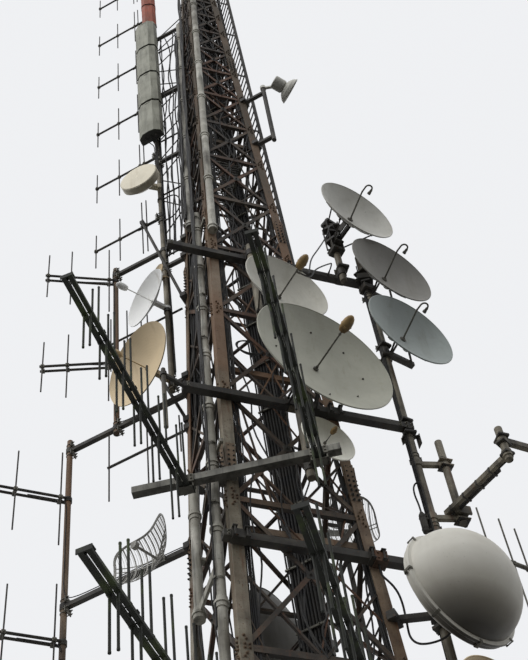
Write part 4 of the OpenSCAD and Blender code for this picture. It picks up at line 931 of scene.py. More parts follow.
def fit_the_clamps():
    wide, narrow = u_bolt(POLE, "wide_u_bolt"), u_bolt(MAST, "narrow_u_bolt")
    places = [standing(main_pole, z, a) for z, a in (
        (16.70, 100), (16.98, 100), (15.30, 100), (15.59, 100), (17.22, 90), (14.03, 90),
        (13.77, 90), (11.63, 90), (11.37, 90), (12.28, 60), (13.42, 60))]
    places += [standing(cover_pole, z, a) for z, a in (
        (11.36, 90), (10.62, 70), (10.98, 70), (9.20, 70), (9.55, 70))]
    places += [standing(stub, z, a) for z, a in ((17.22, 90), (17.74, 100), (18.07, 100))]
    gather("wide_clamps", wide, places, "galvanised")
    places = [standing(mast, z + dz, 135) for z in STACKED_YAGIS for dz in (0.055, -0.055)]
    arms = [(mast, z) for z in MAST_ARMS]
    arms += [(pole_2, 19.38), (pole_2, 15.7), (pole_3, 15.7), (pole_3, 12.94)]
    places += [standing(pole, z + dz, -45) for pole, z in arms for dz in (-0.075, 0.075)]
    gather("narrow_clamps", narrow, places, "galvanised")
    scrap(wide, narrow)


def band_the_pipes():
    strap, places = band(0.0525, "pipe_band"), []
    heights = (1.3, 2.4, 3.4, 4.5, 5.6, 6.6, 7.6, 8.7, 9.7, 10.8, 11.9, 12.9, 13.95, 15.0, 16.0, 17.1, 18.1)
    for n, z in enumerate(heights):
        pipe = standing((corner(z) - 0.075, corner(z) + 0.2), z + 0.32, 45) @ Matrix.Rotation(LEAN, 4, "Y")
        places.append(pipe @ Matrix.Rotation(math.radians(160 + 40 * (n % 3)), 4, "Z"))
    gather("pipe_bands", strap, places, "galvanised")
    scrap(strap)


def trim_the_beams():
    """Bolts on the front of the beams, and caps on the open ends of beams and yards."""
    bolt, places, caps = hex_bolt(), [], []
    for z, left, right, poles in BEAMS:
        front = beam_back(z) - BEAM
        places += [frame_at((x + dx, front, z + dz), (0, -1, 0))
                   for x in poles for dx in (-0.034, 0.034) for dz in (-0.030, 0.030)]
        places += [frame_at((x, front, z + dz), (0, -1, 0))
                   for x in (left + 0.05, right - 0.09) for dz in (-0.02, 0.02)]
        y = beam_back(z) - BEAM / 2
        caps += [frame_at((left, y, z), (-1, 0, 0)), frame_at((right, y, z), (1, 0, 0))]
    gather("beam_bolts", bolt, places, "galvanised")
    cap = Piece("beam_cap").block((0.076, 0.076, 0.006), (0, 0, -0.004))
    cap = cap.ring((0, 0, 0), (0, 0, 1), 0.018, 0.003, 16, 6).finished(0.002)
    for z in YARDS:
        caps += [at_yard(z) @ frame_at((x, -0.049, 0), (x, 0, 0)) for x in (-0.96, 1.18)]
    gather("beam_caps", cap, caps, "dark_steel")
    scrap(bolt, cap)


def hang_the_plates():
    """Plates that join the beams to the poles."""
    plates = Piece("bracket_plates")
    plates.bar((2.60, 0.43, 13.78), (2.60, 0.43, 14.02), 0.10, 0.012, (1, 0, 0))
    plates.bar((2.66, 0.34, 13.62), (2.66, 0.34, 13.80), 0.09, 0.010, (1, 0, 0))
    plates.bar((2.56, 0.43, 13.80), (2.67, 0.34, 13.80), 0.05, 0.012)
    plates.block((0.15, 0.12, 0.045), (2.25, 0.30, 17.22))
    hang(plates.finished(0.004), "dark_steel")


# Panels

def cover_the_panels():
    """Covers with a round front and slightly wider ends, over the solids of the panel antennas."""
    arc = [math.radians(a) for a in range(-75, 76, 15)]
    front = [(-0.004, -1), (0.3, -1)] + [(0.3 + 0.72 * math.cos(a), math.sin(a)) for a in arc]
    front += [(0.3, 1), (-0.004, 1)]
    for name, slot, azimuth, off, wide, deep, high, base, pitch, count in (
            ("panel_shells", "grey_green_cover",
             PANEL_TURN, 0.11, 0.4, 0.19, 1.15, PANEL_LOW, PANEL_PITCH, 4),
            ("orange_shells", "orange_cover", -110, 0.10, 0.27, 0.12, 0.98, 27.79, 1.04, 2)):
        made, half = Piece(name), wide / 2 + 0.004
        mesh = bmesh.from_edit_mesh(made.object.data)
        for n in range(count):
            place = standing(mast, base + n * pitch, azimuth) @ Matrix.Translation((off, 0, 0))
            for low, top, grow in ((-0.004, 0.050, 0.005), (0.048, high - 0.048, 0.0),
                                   (high - 0.050, high + 0.004, 0.005)):
                outline = []
                for x, y in [(deep * x * 0.99, half * y) for x, y in front]:
                    outline.append((x + (grow if x > deep * 0.1 else 0), y + math.copysign(grow, y)))
                lower = [mesh.verts.new(place @ Vector((x, y, low))) for x, y in outline]
                upper = [mesh.verts.new(place @ Vector((x, y, top))) for x, y in outline]
                for a in range(len(outline)):
                    b = (a + 1) % len(outline)
                    mesh.faces.new((lower[a], lower[b], upper[b], upper[a]))
                mesh.faces.new(lower[::-1])
                mesh.faces.new(upper)
        bmesh.update_edit_mesh(made.object.data)
        hang(made.finished(0.012, 3, 50), slot)


def plug_the_panels():
    """Three plugs under each panel antenna, each with a lead that goes in to the mast."""
    plugs, routes = Piece("panel_plugs"), []
    for n in range(4):
        place = standing(mast, PANEL_LOW + n * PANEL_PITCH, PANEL_TURN)
        for y in (-0.10, 0.0, 0.10):
            plugs.round(place @ Vector((0.20, y, 0.0)), place @ Vector((0.20, y, -0.045)), 0.015, 12)
            plugs.round(place @ Vector((0.20, y, -0.008)), place @ Vector((0.20, y, -0.020)), 0.021, 6)
            near = y * 0.25
            routes.append([place @ Vector(v) for v in (
                (0.20, y, -0.04), (0.20, y, -0.065), (0.16, y * 0.7, -0.075), (0.085, y * 0.4, -0.07),
                (0.052, near, -0.10), (0.052, near, -0.4), (0.052, near, -1.0))])
    hang(plugs.finished(0.002), "dark_steel")
    lay_cables("panel_leads", routes, 0.008)


# Dishes

def dress_the_dish(name, dish, finish, ribs):
    """The rolled rim, the hub and the ribs on the back of a dish."""
    place, r, depth = dish.place, dish.diameter / 2, dish.depth
    made = Piece(name + "_rim")
    made.ring(place @ Vector((0, 0, depth - 0.002)), axis_of(place), r + 0.005, 0.008, 96, 8)
    hub = ((0.24, -0.006), (0.24, -0.020), (0.28, -0.020), (0.28, -0.006), (0.24, -0.006))
    made.turned([(share * r, h + depth * share * share) for share, h in hub], 48, place)
    for n in range(ribs):
        turn = place @ Matrix.Rotation(2 * math.pi * (n + 0.5) / ribs, 4, "Z")
        spots = [turn @ Vector((q * r, 0, depth * q * q - 0.012)) for q in (0.26, 0.42, 0.58, 0.74, 0.90)]
        for p, q in zip(spots, spots[1:]):
            made.bar(p, q, 0.014, 0.016, axis_of(place))
    hang(made.finished(0.003), finish)


def bolt_the_dish(name, dish, ring, count, start):
    """A ring of small bolts through the bowl of a dish."""
    bolt, places, r = hex_bolt("dish_bolt", 0.018, 0.008), [], dish.diameter / 2
    q = ring / r
    for n in range(count):
        a = math.radians(start) + 2 * math.pi * n / count
        spot = dish.place @ Vector((ring * math.cos(a), ring * math.sin(a), dish.depth * q * q))
        slope = -2 * dish.depth * q / r
        normal = dish.place.to_3x3() @ Vector((slope * math.cos(a), slope * math.sin(a), 1))
        places.append(frame_at(spot, normal))
    gather(name + "_bolts", bolt, places, "dark_steel")
    scrap(bolt)


def dress_the_dishes():
    for name, finish, slot, ribs in (
            ("upper_dish", "pale_shell", "pale_shell", 12),
            ("middle_dish", "shaded_dish", "pale_shell", 12),
            ("lower_dish", "blue_grey_shell", "blue_grey_shell", 12),
            ("large_dish", "large_dish", "pale_shell", 16),
            ("rear_dish", "rear_dish", "pale_shell", 12),
            ("small_dish", "small_dish", "pale_shell", 8),
            ("bottom_dish", "cream_shell", "cream_shell", 12)):
        dress_the_dish(name, dishes[name], finish, ribs)
        if name == "large_dish":
            bolt_the_dish(name, dishes[name], 0.56, 8, 4)


# Feeds

def hook_the_feeds():
    """Bent tubes with a small horn, which lean beside the dish's axis and hook back onto it."""
    places = [dishes[name].feed_place(0.08) for name in ("upper_dish", "middle_dish", "lower_dish")]
    bow = 0.0475
    arc = [math.radians(a) for a in range(0, 181, 15)]
    spots = [(0, -0.004, 0.012), (0, -0.048, 0.22), (0, -0.0935, 0.425), (0, -0.095, 0.44)]
    spots += [(0, -bow - bow * math.cos(a), 0.515 + bow * math.sin(a)) for a in arc] + [(0, 0, 0.50)]
    routes = [[place @ Vector(spot) for spot in spots] for place in places]
    hang(as_mesh(bent_tubes("hook_feeds", routes, 0.011, 4)), "feed_tube")
    horn = Piece("horn")
    horn.turned([(0, 0.517), (0.015, 0.517), (0.018, 0.508), (0.018, 0.486), (0.023, 0.470), (0.025, 0.445),
                 (0.021, 0.445), (0.017, 0.468), (0, 0.472)], 24)
    horn.turned([(0, CLEAR), (0.040, CLEAR), (0.040, 0.012), (0.020, 0.020), (0.013, 0.034), (0, 0.034)], 24)
    horn.ring((0, -0.095, 0.437), (0, 0, 1), 0.012, 0.003, 16, 6)
    horn = horn.finished(0.0015)
    gather("feed_horns", horn, places, "feed_tube")
    scrap(horn)


def cup_the_feeds():
    """Tan cups on straight tubes, each on a round foot; the rear dish's tube has two cable glands."""
    rows = (("large_dish", 0.057, 0.560, 0.125), ("rear_dish", 0.052, 0.465, 0.115),
            ("small_dish", 0.027, 0.150, 0.060), ("bottom_dish", 0.050, 0.330, 0.110))
    egg = [(0, 0), (0.32, 0.04), (0.44, 0.2), (0.5, 0.42), (0.46, 0.66), (0.34, 0.86), (0.16, 0.97), (0, 1)]
    seam = 0.42
    shells = Piece("feed_cups")
    for name, foot, long, cup in rows:
        place, low, tall = dishes[name].feed_place(foot), long - 0.01, 1.8 * cup
        shells.turned([(x * cup, low + h * tall) for x, h in egg], 32, place)
        shells.ring(place @ Vector((0, 0, low + seam * tall)), axis_of(place), cup * 0.5, 0.0035, 32, 6)
    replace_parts(hang(shells.finished(), "feed_metal"), "dish_feeds")
    tubes = Piece("feed_tubes")
    for name, foot, long, cup in rows:
        place = dishes[name].feed_place(foot)
        neck = long * 0.90
        for low, high, radius, sides in (
                (CLEAR, long, cup * 0.08, 20), (CLEAR, 0.02, foot / 2 + 0.003, 24),
                (0.02, 0.05, cup * 0.13, 20), (neck, neck + 0.02, cup * 0.12, 20)):
            tubes.round(place @ Vector((0, 0, low)), place @ Vector((0, 0, high)), radius, sides)
    name, foot, long, cup = rows[1]
    place = dishes[name].feed_place(foot)
    for h in (long - 0.022, long - 0.058):
        tubes.round(place @ Vector((0, 0, h)), place @ Vector((0, 0.060, h)), 0.013, 16)
        tubes.round(place @ Vector((0, 0.034, h)), place @ Vector((0, 0.046, h)), 0.017, 6)
    hang(tubes.finished(0.0015), "feed_tube")


# Antennas

def log_antenna():
    """Twin square booms with rods that stand up and hang down by turns, each rod in its own saddle."""
    boom, taper, ties = 2.8, 0.965, (0.045, 0.70, 1.40, 2.10, 2.765)
    made = Piece("log_antenna")
    for s in (-1, 1):
        made.block((boom, 0.042, 0.04), (boom / 2, s * 0.031, 0))
    for x in ties[:-1]:
        made.block((0.040, 0.116, 0.014), (x, 0, 0.0235))
    made.block((0.060, 0.118, 0.012), (ties[-1], 0, 0.024)).block((0.010, 0.124, 0.052), (2.797, 0, 0))
    made.round((0.10, 0, -0.024), (2.72, 0, -0.024), 0.0065, 10)
    for n in range(12):
        x = 0.16 + 0.085 * boom * (1 - taper ** n) / (1 - taper)
        side = 1 if n % 2 == 0 else -1
        long = 0.95 * taper ** n * (1 if side > 0 else 0.85)
        made.round((x, -0.056, 0), (x, 0.056, 0), 0.0055, 8)
        for s in (-1, 1):
            y = s * 0.032
            made.block((0.030, 0.045, 0.045), (x, s * 0.0315, 0))
            made.round((x, y, 0), (x, y, side * long), 0.011, 12)
            made.round((x, y, side * 0.018), (x, y, side * 0.034), 0.016, 6)
            made.round((x, y, side * (long - 0.022)), (x, y, side * (long - 0.001)), 0.0125, 12)
    return made.finished(0.0016), ties


def log_clamp():
    """The folded plate that hangs a log antenna's root under its yard."""
    plate = Piece("log_clamp").block((0.189, 0.106, 0.029), (0, 0.008, -0.0155))
    plate.block((0.189, 0.016, 0.109), (0, -0.0533, 0.025))
    for x in (-0.080, 0.080):
        plate.block((0.014, 0.103, 0.060), (x, 0.008, -0.055))
    plate.block((0.175, 0.103, 0.010), (0, 0.008, -0.080))
    for x in (-0.070, 0.070):
        for z in (0.010, 0.060):
            plate.round((x, -0.058, z), (x, -0.075, z), 0.012, 6)
    return plate.finished(0.002)


def string_the_log_antennas():
    (pattern, ties), bolt, plate = log_antenna(), hex_bolt("rod_bolt", 0.013, 0.006), log_clamp()
    bolts, clamps = [], []
    for node, z, u, azimuth, root in (
            ("log_antenna_1", 12.47, -0.414, -128, 0.08), ("log_antenna_2", 12.47, 0.953, -121, 0.08),
            ("log_antenna_3", 8.6, 0.02, -130, 0.01), ("log_antenna_4", 8.6, 1.12, -123, 0.08)):
        turn = Matrix.Rotation(math.radians(azimuth - YARD_TURN), 4, "Z")
        place = (at_yard(z) @ Matrix.Translation((u, -0.049, -0.0913)) @ turn
                 @ Matrix.Translation((-root, 0, 0)))
        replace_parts(gather(node + "_rods", pattern, [place], "green_metal"), node)
        clamps.append(at_yard(z) @ Matrix.Translation((u, -0.049, -0.0453)))
        bolts += [place @ Matrix.Translation((x, s * 0.03, 0.0305)) for x in ties for s in (-1, 1)]
    gather("log_clamps", plate, clamps, "galvanised")
    gather("log_bolts", bolt, bolts, "galvanised")
    scrap(pattern, plate, bolt)


def clamp_the_booms():
    """Small clamps that hold the rods of the yagis to their booms."""
    clamp = Piece("boom_clamp").block((0.050, 0.044, 0.052)).block((0.034, 0.058, 0.012))
    for z in (0.012, -0.012):
        clamp.round((0, 0.022, z), (0, 0.034, z), 0.008, 6)
    clamp = clamp.finished(0.003)
    places = [standing(mast, z, 135) @ Matrix.Translation((r, 0, 0))
              for z in STACKED_YAGIS for r in (0.26, 0.34, 0.74, 1.17)]
    for pole, z, azimuth in (
            (pole_2, 19.2, 171), (pole_2, 17.1, 163), (pole_3, 14.75, 181), (pole_3, 12.4, 181)):
        places += [standing(pole, z, azimuth) @ Matrix.Translation((r, s, 0))
                   for r in (0.1, 0.65, 0.98) for s in (-0.04, 0.04)]
    places += [standing(main_pole, 12.15, 12) @ Matrix.Translation((r, 0, 0)) for r in (0.68, 0.96, 1.15)]
    gather("boom_clamps", clamp, places, "galvanised")
    scrap(clamp)


# The domed cover

def cover_the_drum():
    """A smooth spun cover with a rolled rim, and the hooks that hold it on its drum."""
    r, high, rim, dome = 0.6125, 0.18, 0.022, 0.5
    place = facing(vertex(cover_pole, 10.8, 0.15, -71), -71)
    arc = [math.radians(a) for a in range(3, 88, 3)]
    back = [(0, 0), (0.10, 0), (0.20, 0.001), (r * 0.75, 0.002), (r * 0.78, 0.006),
            (r - 0.01, 0.080), (r, 0.094)]
    lip = [(r, high - 0.047), (r + rim - 0.005, high - 0.038), (r + rim, high - 0.030),
           (r + rim, high - 0.010), (r + rim - 0.004, high - 0.003), (r - 0.008, high),
           (r - 0.018, high + 0.004)]
    top = [((r - 0.02) * math.cos(a), high + dome * math.sin(a)) for a in arc] + [(0, high + dome)]
    shell = Piece("domed_cover").turned(back + lip + top, 96, place)
    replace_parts(hang(shell.finished(), "white_cover"), "covered_dish")
    hooks, edge = Piece("cover_hooks"), r + 0.006
    for a in range(5, 321, 45):
        turn = place @ Matrix.Rotation(math.radians(a), 4, "Z")
        hooks.block((0.012, 0.030, 0.078), (r + rim + 0.010, 0, high - 0.036), turn)
        hooks.block((0.044, 0.030, 0.010), (r + rim - 0.004, 0, high + 0.002), turn)
        hooks.block((0.034, 0.030, 0.010), (r + rim - 0.002, 0, high - 0.072), turn)
        for low, top, radius, sides in ((0.09, 0.055, 0.007, 8), (0.094, 0.080, 0.012, 6)):
            start, end = turn @ Vector((edge, 0, high - low)), turn @ Vector((edge, 0, high - top))
            hooks.round(start, end, radius, sides)
    hang(hooks.finished(0.002), "galvanised")


# Brackets that the dishes and poles are clamped with

def crowd_the_clamps():
    """Plates and blocks at odd turns where clamps crowd on the poles."""
    made = Piece("clamp_clusters")

    def crowd(spot, rows):
        for z, turn, size in rows:
            made.block(size, place=standing(spot, z, turn))

    x = 2.225
    crowd((x, 0.30), (
        (18.33, 20, (0.21, 0.15, 0.060)), (18.24, 75, (0.17, 0.22, 0.030)),
        (18.13, 48, (0.24, 0.13, 0.050)), (18.03, -10, (0.15, 0.22, 0.055)),
        (17.83, 35, (0.23, 0.15, 0.050)), (17.74, 100, (0.26, 0.12, 0.030)),
        (17.62, 10, (0.17, 0.17, 0.060))))
    for s in (-1, 1):
        made.bar((x + s * 0.075, 0.24, 17.58), (x + s * 0.085, 0.24, 18.36), 0.045, 0.012)
        made.round((x + s * 0.10, 0.35, 17.70), (x + s * 0.10, 0.35, 18.26), 0.011, 10)
    crowd((2.56, 0.345), (
        (16.86, 10, (0.18, 0.15, 0.10)), (17.10, -20, (0.20, 0.17, 0.12)), (17.26, 30, (0.17, 0.20, 0.03)),
        (16.97, 60, (0.19, 0.12, 0.04)), (15.55, 15, (0.14, 0.13, 0.04)), (15.32, -10, (0.14, 0.14, 0.04)),
        (14.03, 10, (0.13, 0.13, 0.035)), (13.80, -5, (0.14, 0.14, 0.035)), (11.66, 10, (0.14, 0.15, 0.04)),
        (11.36, 0, (0.14, 0.14, 0.04))))
    crowd(end_pole, (
        (12.74, 0, (0.12, 0.15, 0.030)), (12.65, 30, (0.15, 0.11, 0.030)), (12.48, 15, (0.12, 0.11, 0.035))))
    crowd(side_pole, [(z, 8, (0.135, 0.115, 0.022)) for z in (12.36, 12.50, 13.24, 13.35)])
    crowd((2.22, 0.154), [(z, turn, (0.17, 0.15, 0.045)) for z, turn in (
        (10.98, 10), (10.72, -15), (10.58, 30), (9.95, 5), (9.62, 20))])
    hang(made.finished(0.004), "dark_steel")


def strut_the_dishes():
    """Four thin struts from each of two poles out to the back of its dish."""
    struts = Piece("dish_struts")
    for name, left, right, front, high, low in (
            ("upper_dish", (2.17, 0.27), (2.29, 0.26), 0.18, 18.26, 17.68),
            ("rear_dish", (0.94, 0.27), (1.01, 0.27), 0.18, 15.66, 15.30)):
        dish = dishes[name]
        for x, z in ((-0.30, high), (0.30, low)):
            for y, root in ((-0.26, left), (0.26, right)):
                q = math.hypot(x, y) / (dish.diameter / 2)
                start, end = Vector((*root, z)), dish.place @ Vector((x, y, front * q * q - 0.012))
                struts.round(start, end, 0.010, 10)
                struts.round(end - (end - start).normalized() * 0.03, end, 0.017, 8)
                struts.block((0.045, 0.045, 0.05), start)
    hang(struts.finished(0.002), "dark_steel")


def lay_the_arm_tray():
    """A light rail beside the arm of the side pole, with cross bars and cables."""
    arm, far = Vector((2.7135, 0.33, 12.48)), Vector((*end_pole, 12.48))
    side = Vector((far.y - arm.y, arm.x - far.x, 0)).normalized()
    off = Vector((0, 0, 0.01)) - side * 0.075
    tray = Piece("arm_tray").bar(arm + off, arm.lerp(far, 0.80) + off, 0.030, 0.055)
    for n in range(4):
        spot = arm.lerp(far, 0.10 + 0.21 * n)
        tray.bar(spot - side * 0.092, spot + side * 0.030, 0.022, 0.066)
    hang(tray.finished(0.003), "dark_steel")
    routes = []
    for k in range(4):
        rise = Vector((0, 0, 0.045 - 0.012 * (k % 2)))
        routes.append([arm.lerp(far, t) - side * (0.045 + 0.012 * k + chance.uniform(-0.004, 0.004)) + rise
                       for t in (0.0, 0.2, 0.4, 0.6, 0.8, 0.97)])
    lay_cables("arm_cables", routes, 0.010)


def strap_the_canister():
    """A round canister strapped beside the main pole, with its lead."""
    canister, x, y = Piece("canister"), 2.44, 0.35
    canister.turned([(0, 0), (0.014, 0), (0.016, 0.008), (0.034, 0.016), (0.037, 0.028), (0.037, 0.270),
                     (0.033, 0.284), (0.024, 0.292), (0.020, 0.315), (0.010, 0.330), (0, 0.330)], 24,
                    Matrix.Translation((x, y, 12.14)))
    for z in (12.20, 12.37):
        canister.block((0.11, 0.036, 0.022), (2.50, 0.352, z))
        canister.ring((x, y, z), (0, 0, 1), 0.038, 0.004, 24, 6)
    hang(canister.finished(0.0015), "dark_steel")
    lead = [(x, y, 12.46), (x, y, 12.58), (2.415, 0.345, 12.72), (2.42, 0.335, 12.86), (2.48, 0.325, 12.94),
            (2.515, 0.325, 12.90), (2.518, 0.328, 12.80), (2.513, 0.330, 12.40), (2.512, 0.330, 11.9)]
    lay_cables("canister_lead", [lead], 0.010, sides=2)


def clamp_the_beam():
    """A rusty clamp of four plates round the lowest beam."""
    clamp, x, y, z = Piece("beam_block"), 1.78, 0.2588, 11.5
    for s in (-1, 1):
        clamp.block((0.020, 0.136, 0.150), (x + s * 0.058, y, z))
    for dz in (0.065, -0.065):
        clamp.block((0.11, 0.122, 0.022), (x, y, z + dz))
    clamp.block((0.105, 0.014, 0.118), (x, 0.206, z))
    for dx in (-0.03, 0.03):
        for dz in (-0.035, 0.035):
            clamp.round((x + dx, 0.200, z + dz), (x + dx, 0.186, z + dz), 0.011, 6)
    hang(clamp.finished(0.003), "rusty_block")


# Struts and cables between the left leg and its mast

def leg_edge(z):
    """A point on the left leg's outer edge, where the lacing meets it."""
    return Vector((corner(z) + 0.004, 2 * MIDDLE - corner(z) - 0.004, z))


def lace_the_mast():
    made, n, z, bay = Piece("mast_lacing"), 0, 19.2, 0.56
    shares = (0.16, 0.27, 0.38, 0.52, 0.64, 0.76, 0.88)
    routes = [[] for _ in shares]
    while z < 27.2:
        a, b = Vector((mast.x, mast.y, z)), leg_edge(z)
        if n % 3 == 0:
            made.bar(a, b, 0.024, 0.020)
        if chance.random() < 0.5:
            made.round(a, leg_edge(z + bay), 0.0105, 8)
        else:
            made.round(b, Vector((mast.x, mast.y, z + bay)), 0.0105, 8)
        made.block((0.07, 0.07, 0.02), place=frame_at(b, b - a))
        side = Vector((-(b - a).y, (b - a).x, 0)).normalized()
        for k, (share, route) in enumerate(zip(shares, routes)):
            spot = a.lerp(b, share + chance.uniform(-0.10, 0.10))
            route.append(spot + side * ((0.019 if k % 2 else -0.019) + chance.uniform(-0.004, 0.004)))
        n, z = n + 1, z + bay + 0.06 * (n % 3)
    hang(made.finished(0.002), "dark_steel")
    lay_cables("mast_cables", routes, 0.0115)


def tie_the_loops():
    """Spare turns of cable, tied flat against the sides of the tower."""
    loops = Piece("tied_loops")
    for i, x, y, z, radius, tilt in (
            (3, 0.20, 0.02, 21.9, 0.16, 15), (3, 0.35, 0.03, 23.3, 0.12, -20),
            (0, 0.02, 0.42, 22.2, 0.15, 10), (0, 0.03, 0.30, 20.6, 0.13, -15),
            (0, 0.02, 0.55, 18.2, 0.16, 20), (0, 0.03, 0.45, 16.4, 0.15, -8),
            (0, 0.42, 0.04, 15.1, 0.15, 12), (0, 0.60, 0.03, 17.5, 0.13, -14),
            (3, 0.30, 0.03, 25.4, 0.12, 8), (0, 0.03, 0.32, 24.7, 0.12, 18),
            (0, 0.05, 0.80, 13.1, 0.17, 6), (0, 0.04, 0.7, 10.3, 0.18, -12)):
        spot = on_leg(i, x, y, z)
        out = (on_leg(i, x - (0.5 if y > x else 0), y - (0.5 if x >= y else 0), z) - spot).normalized()
        for k in range(3):
            lean = Vector((0, 0, 0.06 * (k - 1) + tilt / 120))
            axis = Quaternion(out, math.radians(7 * k - 7)) @ (out + lean)
            loops.ring(spot + out * (0.004 * k), axis, radius + 0.008 * k, 0.0085, 28, 6)
    hang(loops.finished(), "black_cable")


# Thin members, and cables that are tied at random

def brace_between():
    """Light angles from the middle of each level bar out to the legs at half height."""
    angle = Piece("light_angle").block((0.030, 0.005, 1.0), (0, 0, 0.5))
    angle, places, inset = angle.block((0.005, 0.030, 1.0), (-0.0125, 0.0125, 0.5)).finished(), [], 0.030
    for i in range(4):
        for n in range(2, 20):
            z, half = level(n), (level(n) + level(n + 1)) / 2
            middle = on_leg(i, MIDDLE - corner(z), inset, z)
            reach = MIDDLE - corner(half) - 0.07
            for s in (-1, 1):
                end = on_leg(i, MIDDLE - corner(half) + s * reach, inset, half)
                stretch = Matrix.Diagonal((1, 1, (end - middle).length, 1))
                places.append(frame_at(middle, end - middle) @ stretch)
    gather("light_bracing", angle, places, "bracing")
    scrap(angle)


def crowd_the_cables():
    """Cables down the front of the ladder's side and the front leg, and round the mast."""
    routes = []
    for n in range(6):
        y, z, route = 0.455 + 0.018 * n, 18.95, []
        while z < 26.6:
            route.append(on_leg(0, -0.142 + chance.uniform(-0.02, 0.015), y + chance.uniform(-0.06, 0.06), z))
            z += chance.uniform(0.35, 0.65)
        routes.append(route)
    for n in range(6):
        z, route, y = 10.5 + 1.4 * n, [], chance.uniform(0.12, 0.26)
        while z < 28.8:
            x = -0.139 + chance.uniform(-0.006, 0.004)
            route.append(on_leg(0, x, y + chance.uniform(-0.055, 0.055), z))
            z += chance.uniform(0.35, 0.7)
        routes.append(route)
    for n in range(5):
        route, z = [], 16.3
        while z < 27.0:
            out = way(-30 + 22 * n) * (MAST + 0.012 + chance.uniform(0, 0.012))
            route.append(Vector((mast.x + out.x, mast.y + out.y, z)))
            z += 0.45
        routes.append(route)
    lay_cables("crowded_cables", routes, 0.011)


def cross_the_cables():
    """Leads that cross from the left leg to the front one along the level bars."""
    routes = []
    for n in range(12, 20):
        for k in range(3):
            z = level(n) + 0.03 + 0.02 * k
            routes.append([on_leg(*spot) for spot in (
                (3, 0.10, 0.10, z - 0.5 - 0.12 * k), (3, 0.09, 0.06, z),
                (3, 0.20, 0.035 + 0.01 * k, z + 0.045), (0, 0.03 + 0.012 * k, MIDDLE - corner(z), z + 0.05),
                (0, 0.035, 0.16, z + 0.045), (0, 0.10, 0.10, z + 0.06), (0, 0.09, 0.09, z + 0.6))])
    lay_cables("crossing_cables", routes, 0.009)


def tangle(i, first, last, count):
    """Leads that wander up one face of the tower, each tied at both ends to a level bar."""
    routes = []
    for _ in range(count):
        start = chance.randrange(first, last - 1)
        end = min(last, start + chance.randrange(2, 6))
        f, drift, z, route = chance.uniform(0.12, 0.88), chance.uniform(-0.05, 0.05), level(start), []
        while z < level(end) - 0.15:
            route.append(on_leg(i, f * 2 * (MIDDLE - corner(z)), 0.012 + chance.uniform(0, 0.05), z))
            z += chance.uniform(0.28, 0.55)
            f = min(0.92, max(0.08, f + drift + chance.uniform(-0.12, 0.12)))
        route.append(on_leg(i, f * 2 * (MIDDLE - corner(level(end))), 0.030, level(end)))
        routes.append(route)
    return routes


def fill_the_top():
    """Wandering leads, and light angles and flats that lie across the panels at odd slopes."""
    routes = tangle(3, 7, 20, 38) + tangle(0, 6, 20, 34) + tangle(3, 3, 8, 10) + tangle(0, 3, 8, 8)
    lay_cables("wandering_leads", [r for r in routes if len(r) > 3], 0.0095)
    for name, finish, slot, count, size in (("odd_angles", "bracing", "galvanised", 46, 0.030),
                                            ("odd_flats", "rusty_block", "brown_paint", 30, 0.022)):
        made = Piece(name)
        for n in range(count):
            i, bay = (0, 3)[n % 2], chance.randrange(7, 19) if n % 4 else chance.randrange(3, 8)
            side, f, y = chance.choice((0.05, 0.95)), chance.uniform(0.25, 0.75), chance.uniform(0.025, 0.055)
            foot, head = level(bay), level(bay + 1)
            start, end = foot, head + chance.uniform(-0.3, 0.5) * (head - foot)
            if chance.random() < 0.5:
                start, end = head, foot + chance.uniform(-0.4, 0.3) * (head - foot)
            a = on_leg(i, f * 2 * (MIDDLE - corner(start)), y, start)
            b = on_leg(i, side * 2 * (MIDDLE - corner(end)), y, end)
            made.bar(a, b, size, 0.008)
            made.bar(a - (b - a).normalized() * 0.004, b, 0.008, size * 0.8)
        hang(made.finished(), finish)


def wire_the_grids():
    """Fine wires between the coarse ones of the two grid dishes, whose outline is a squared ellipse."""
    squareness, pitch, z, azimuth = 0.66, 0.0207, 12.94, -154
    hub = (corner(z) - 0.238, 2 * MIDDLE - corner(z) + 0.238)
    for name, place, a, b, k in (
            ("left_grid_wires", facing(vertex(hub, z, 0.07, azimuth), azimuth), 0.430, 0.320, 1.34),
            ("right_grid_wires", facing((2.22, 1.6, 13.48), -102), 0.320, 0.420, 1.0)):
        routes = []
        count = int(2 * a / pitch)
        for n in range(1, count):
            y = -a + 2 * a * n / count
            edge = (1 - abs(y / a) ** (2 / squareness)) ** (squareness / 2) * b - 0.004
            routes.append([place @ Vector((edge * t, y, k * (edge * edge * t * t + y * y) + 0.0045))
                           for t in (-1, -0.66, -0.33, 0, 0.33, 0.66, 1)])
        lay_cables(name, routes, 0.0024, "grid_wire", sides=0)


def lay_the_gratings():
    """Two small gratings inside the tower, on two rails."""
    made, z, left, right, count = Piece("gratings"), 20.375, 0.70, 1.24, 11
    for x in (0.72, 1.22):
        made.bar((x, 0.60, z - 0.025), (x, 1.50, z - 0.025), 0.040, 0.040)
    for near, far in ((0.62, 0.98), (1.04, 1.42)):
        for x in (left, right):
            made.bar((x, near, z), (x, far, z), 0.012, 0.030)
        for n in range(count):
            y = near + (far - near) * n / (count - 1)
            made.bar((left, y, z), (right, y, z), 0.012, 0.026)
    hang(made.finished(0.002), "galvanised")


# The four free jumpers

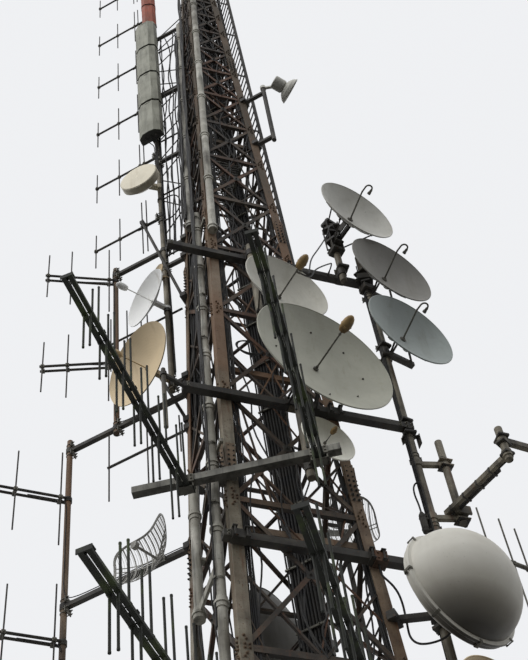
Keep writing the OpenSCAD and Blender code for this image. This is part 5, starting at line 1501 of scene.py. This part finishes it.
free_jumper("upper_dish_jumper", "dish_jumper_1", 0.018, [
    (2184.6, 100.3, 17870), (2155.8, 92.6, 17870), (2126.9, 84.8, 17870), (2074, 56, 17828),
    (2032, 15, 17710), (1978, -33, 17500), (1900, -88, 17250), (1805, -147, 16985), (1705, -207, 16715),
    (1605, -270, 16450), (1510, -333, 16200), (1435, -388, 15975), (1385, -427, 15785), (1349, -453, 15612),
    (1322, -468, 15506), (1284.9, -479.7, 15469), (1227.4, -492.9, 15469)])
free_jumper("beam_jumper", "dish_jumper_2", 0.018, [
    (2050, 322, 17080), (2050, 262, 17080), (2036, 200, 17052), (1998, 130, 16960), (1935, 65, 16820),
    (1855, -10, 16650), (1765, -90, 16460), (1670, -172, 16260), (1580, -250, 16065), (1500, -320, 15880),
    (1442, -370, 15725), (1404, -398, 15612), (1368, -416, 15530), (1327, -430, 15484),
    (1276.9, -444.6, 15469), (1218.8, -458, 15469)])
free_jumper("covered_dish_jumper", "cover_jumper", 0.022, [
    (1764.6, 253.8, 11382.7), (1764.6, 253.8, 11320), (1772, 243, 11258), (1800, 228, 11195),
    (1845, 225, 11125), (1890, 240, 11045), (1922, 268, 10950), (1938, 295, 10850), (1941, 305, 10750),
    (1936, 303, 10650), (1932, 290, 10560), (1942, 265, 10480), (1970, 232, 10420), (2015, 190, 10385),
    (2070, 145, 10370), (2130, 100, 10372), (2190, 70, 10405), (2233, 61, 10470), (2251, 59.3, 10555),
    (2252.6, 59.2, 10630), (2252.6, 59.2, 10699.6)])
free_jumper("mast_jumper", "left_jumper", 0.020, [
    (362.5, 1747.5, 20930), (383.4, 1726.6, 20930), (404.3, 1705.7, 20930), (452, 1658, 20898),
    (495, 1615, 20810), (520, 1590, 20690), (526, 1584, 20560), (510, 1600, 20430), (468, 1642, 20310),
    (404.3, 1705.7, 20250), (383.4, 1726.6, 20250), (362.5, 1747.5, 20250)])

bolt_the_lattice()
splice_the_legs()
plate_the_crossings()
fix_the_feet()
tie_the_cables()
strap_the_cables()
tie_the_antenna_leads()
tie_the_beam_leads()
fit_the_clamps()
band_the_pipes()
trim_the_beams()
hang_the_plates()
cover_the_panels()
plug_the_panels()
dress_the_dishes()
hook_the_feeds()
cup_the_feeds()
string_the_log_antennas()
clamp_the_booms()
cover_the_drum()
crowd_the_clamps()
strut_the_dishes()
lay_the_arm_tray()
strap_the_canister()
clamp_the_beam()
lace_the_mast()
tie_the_loops()
brace_between()
crowd_the_cables()
cross_the_cables()
fill_the_top()
wire_the_grids()
lay_the_gratings()
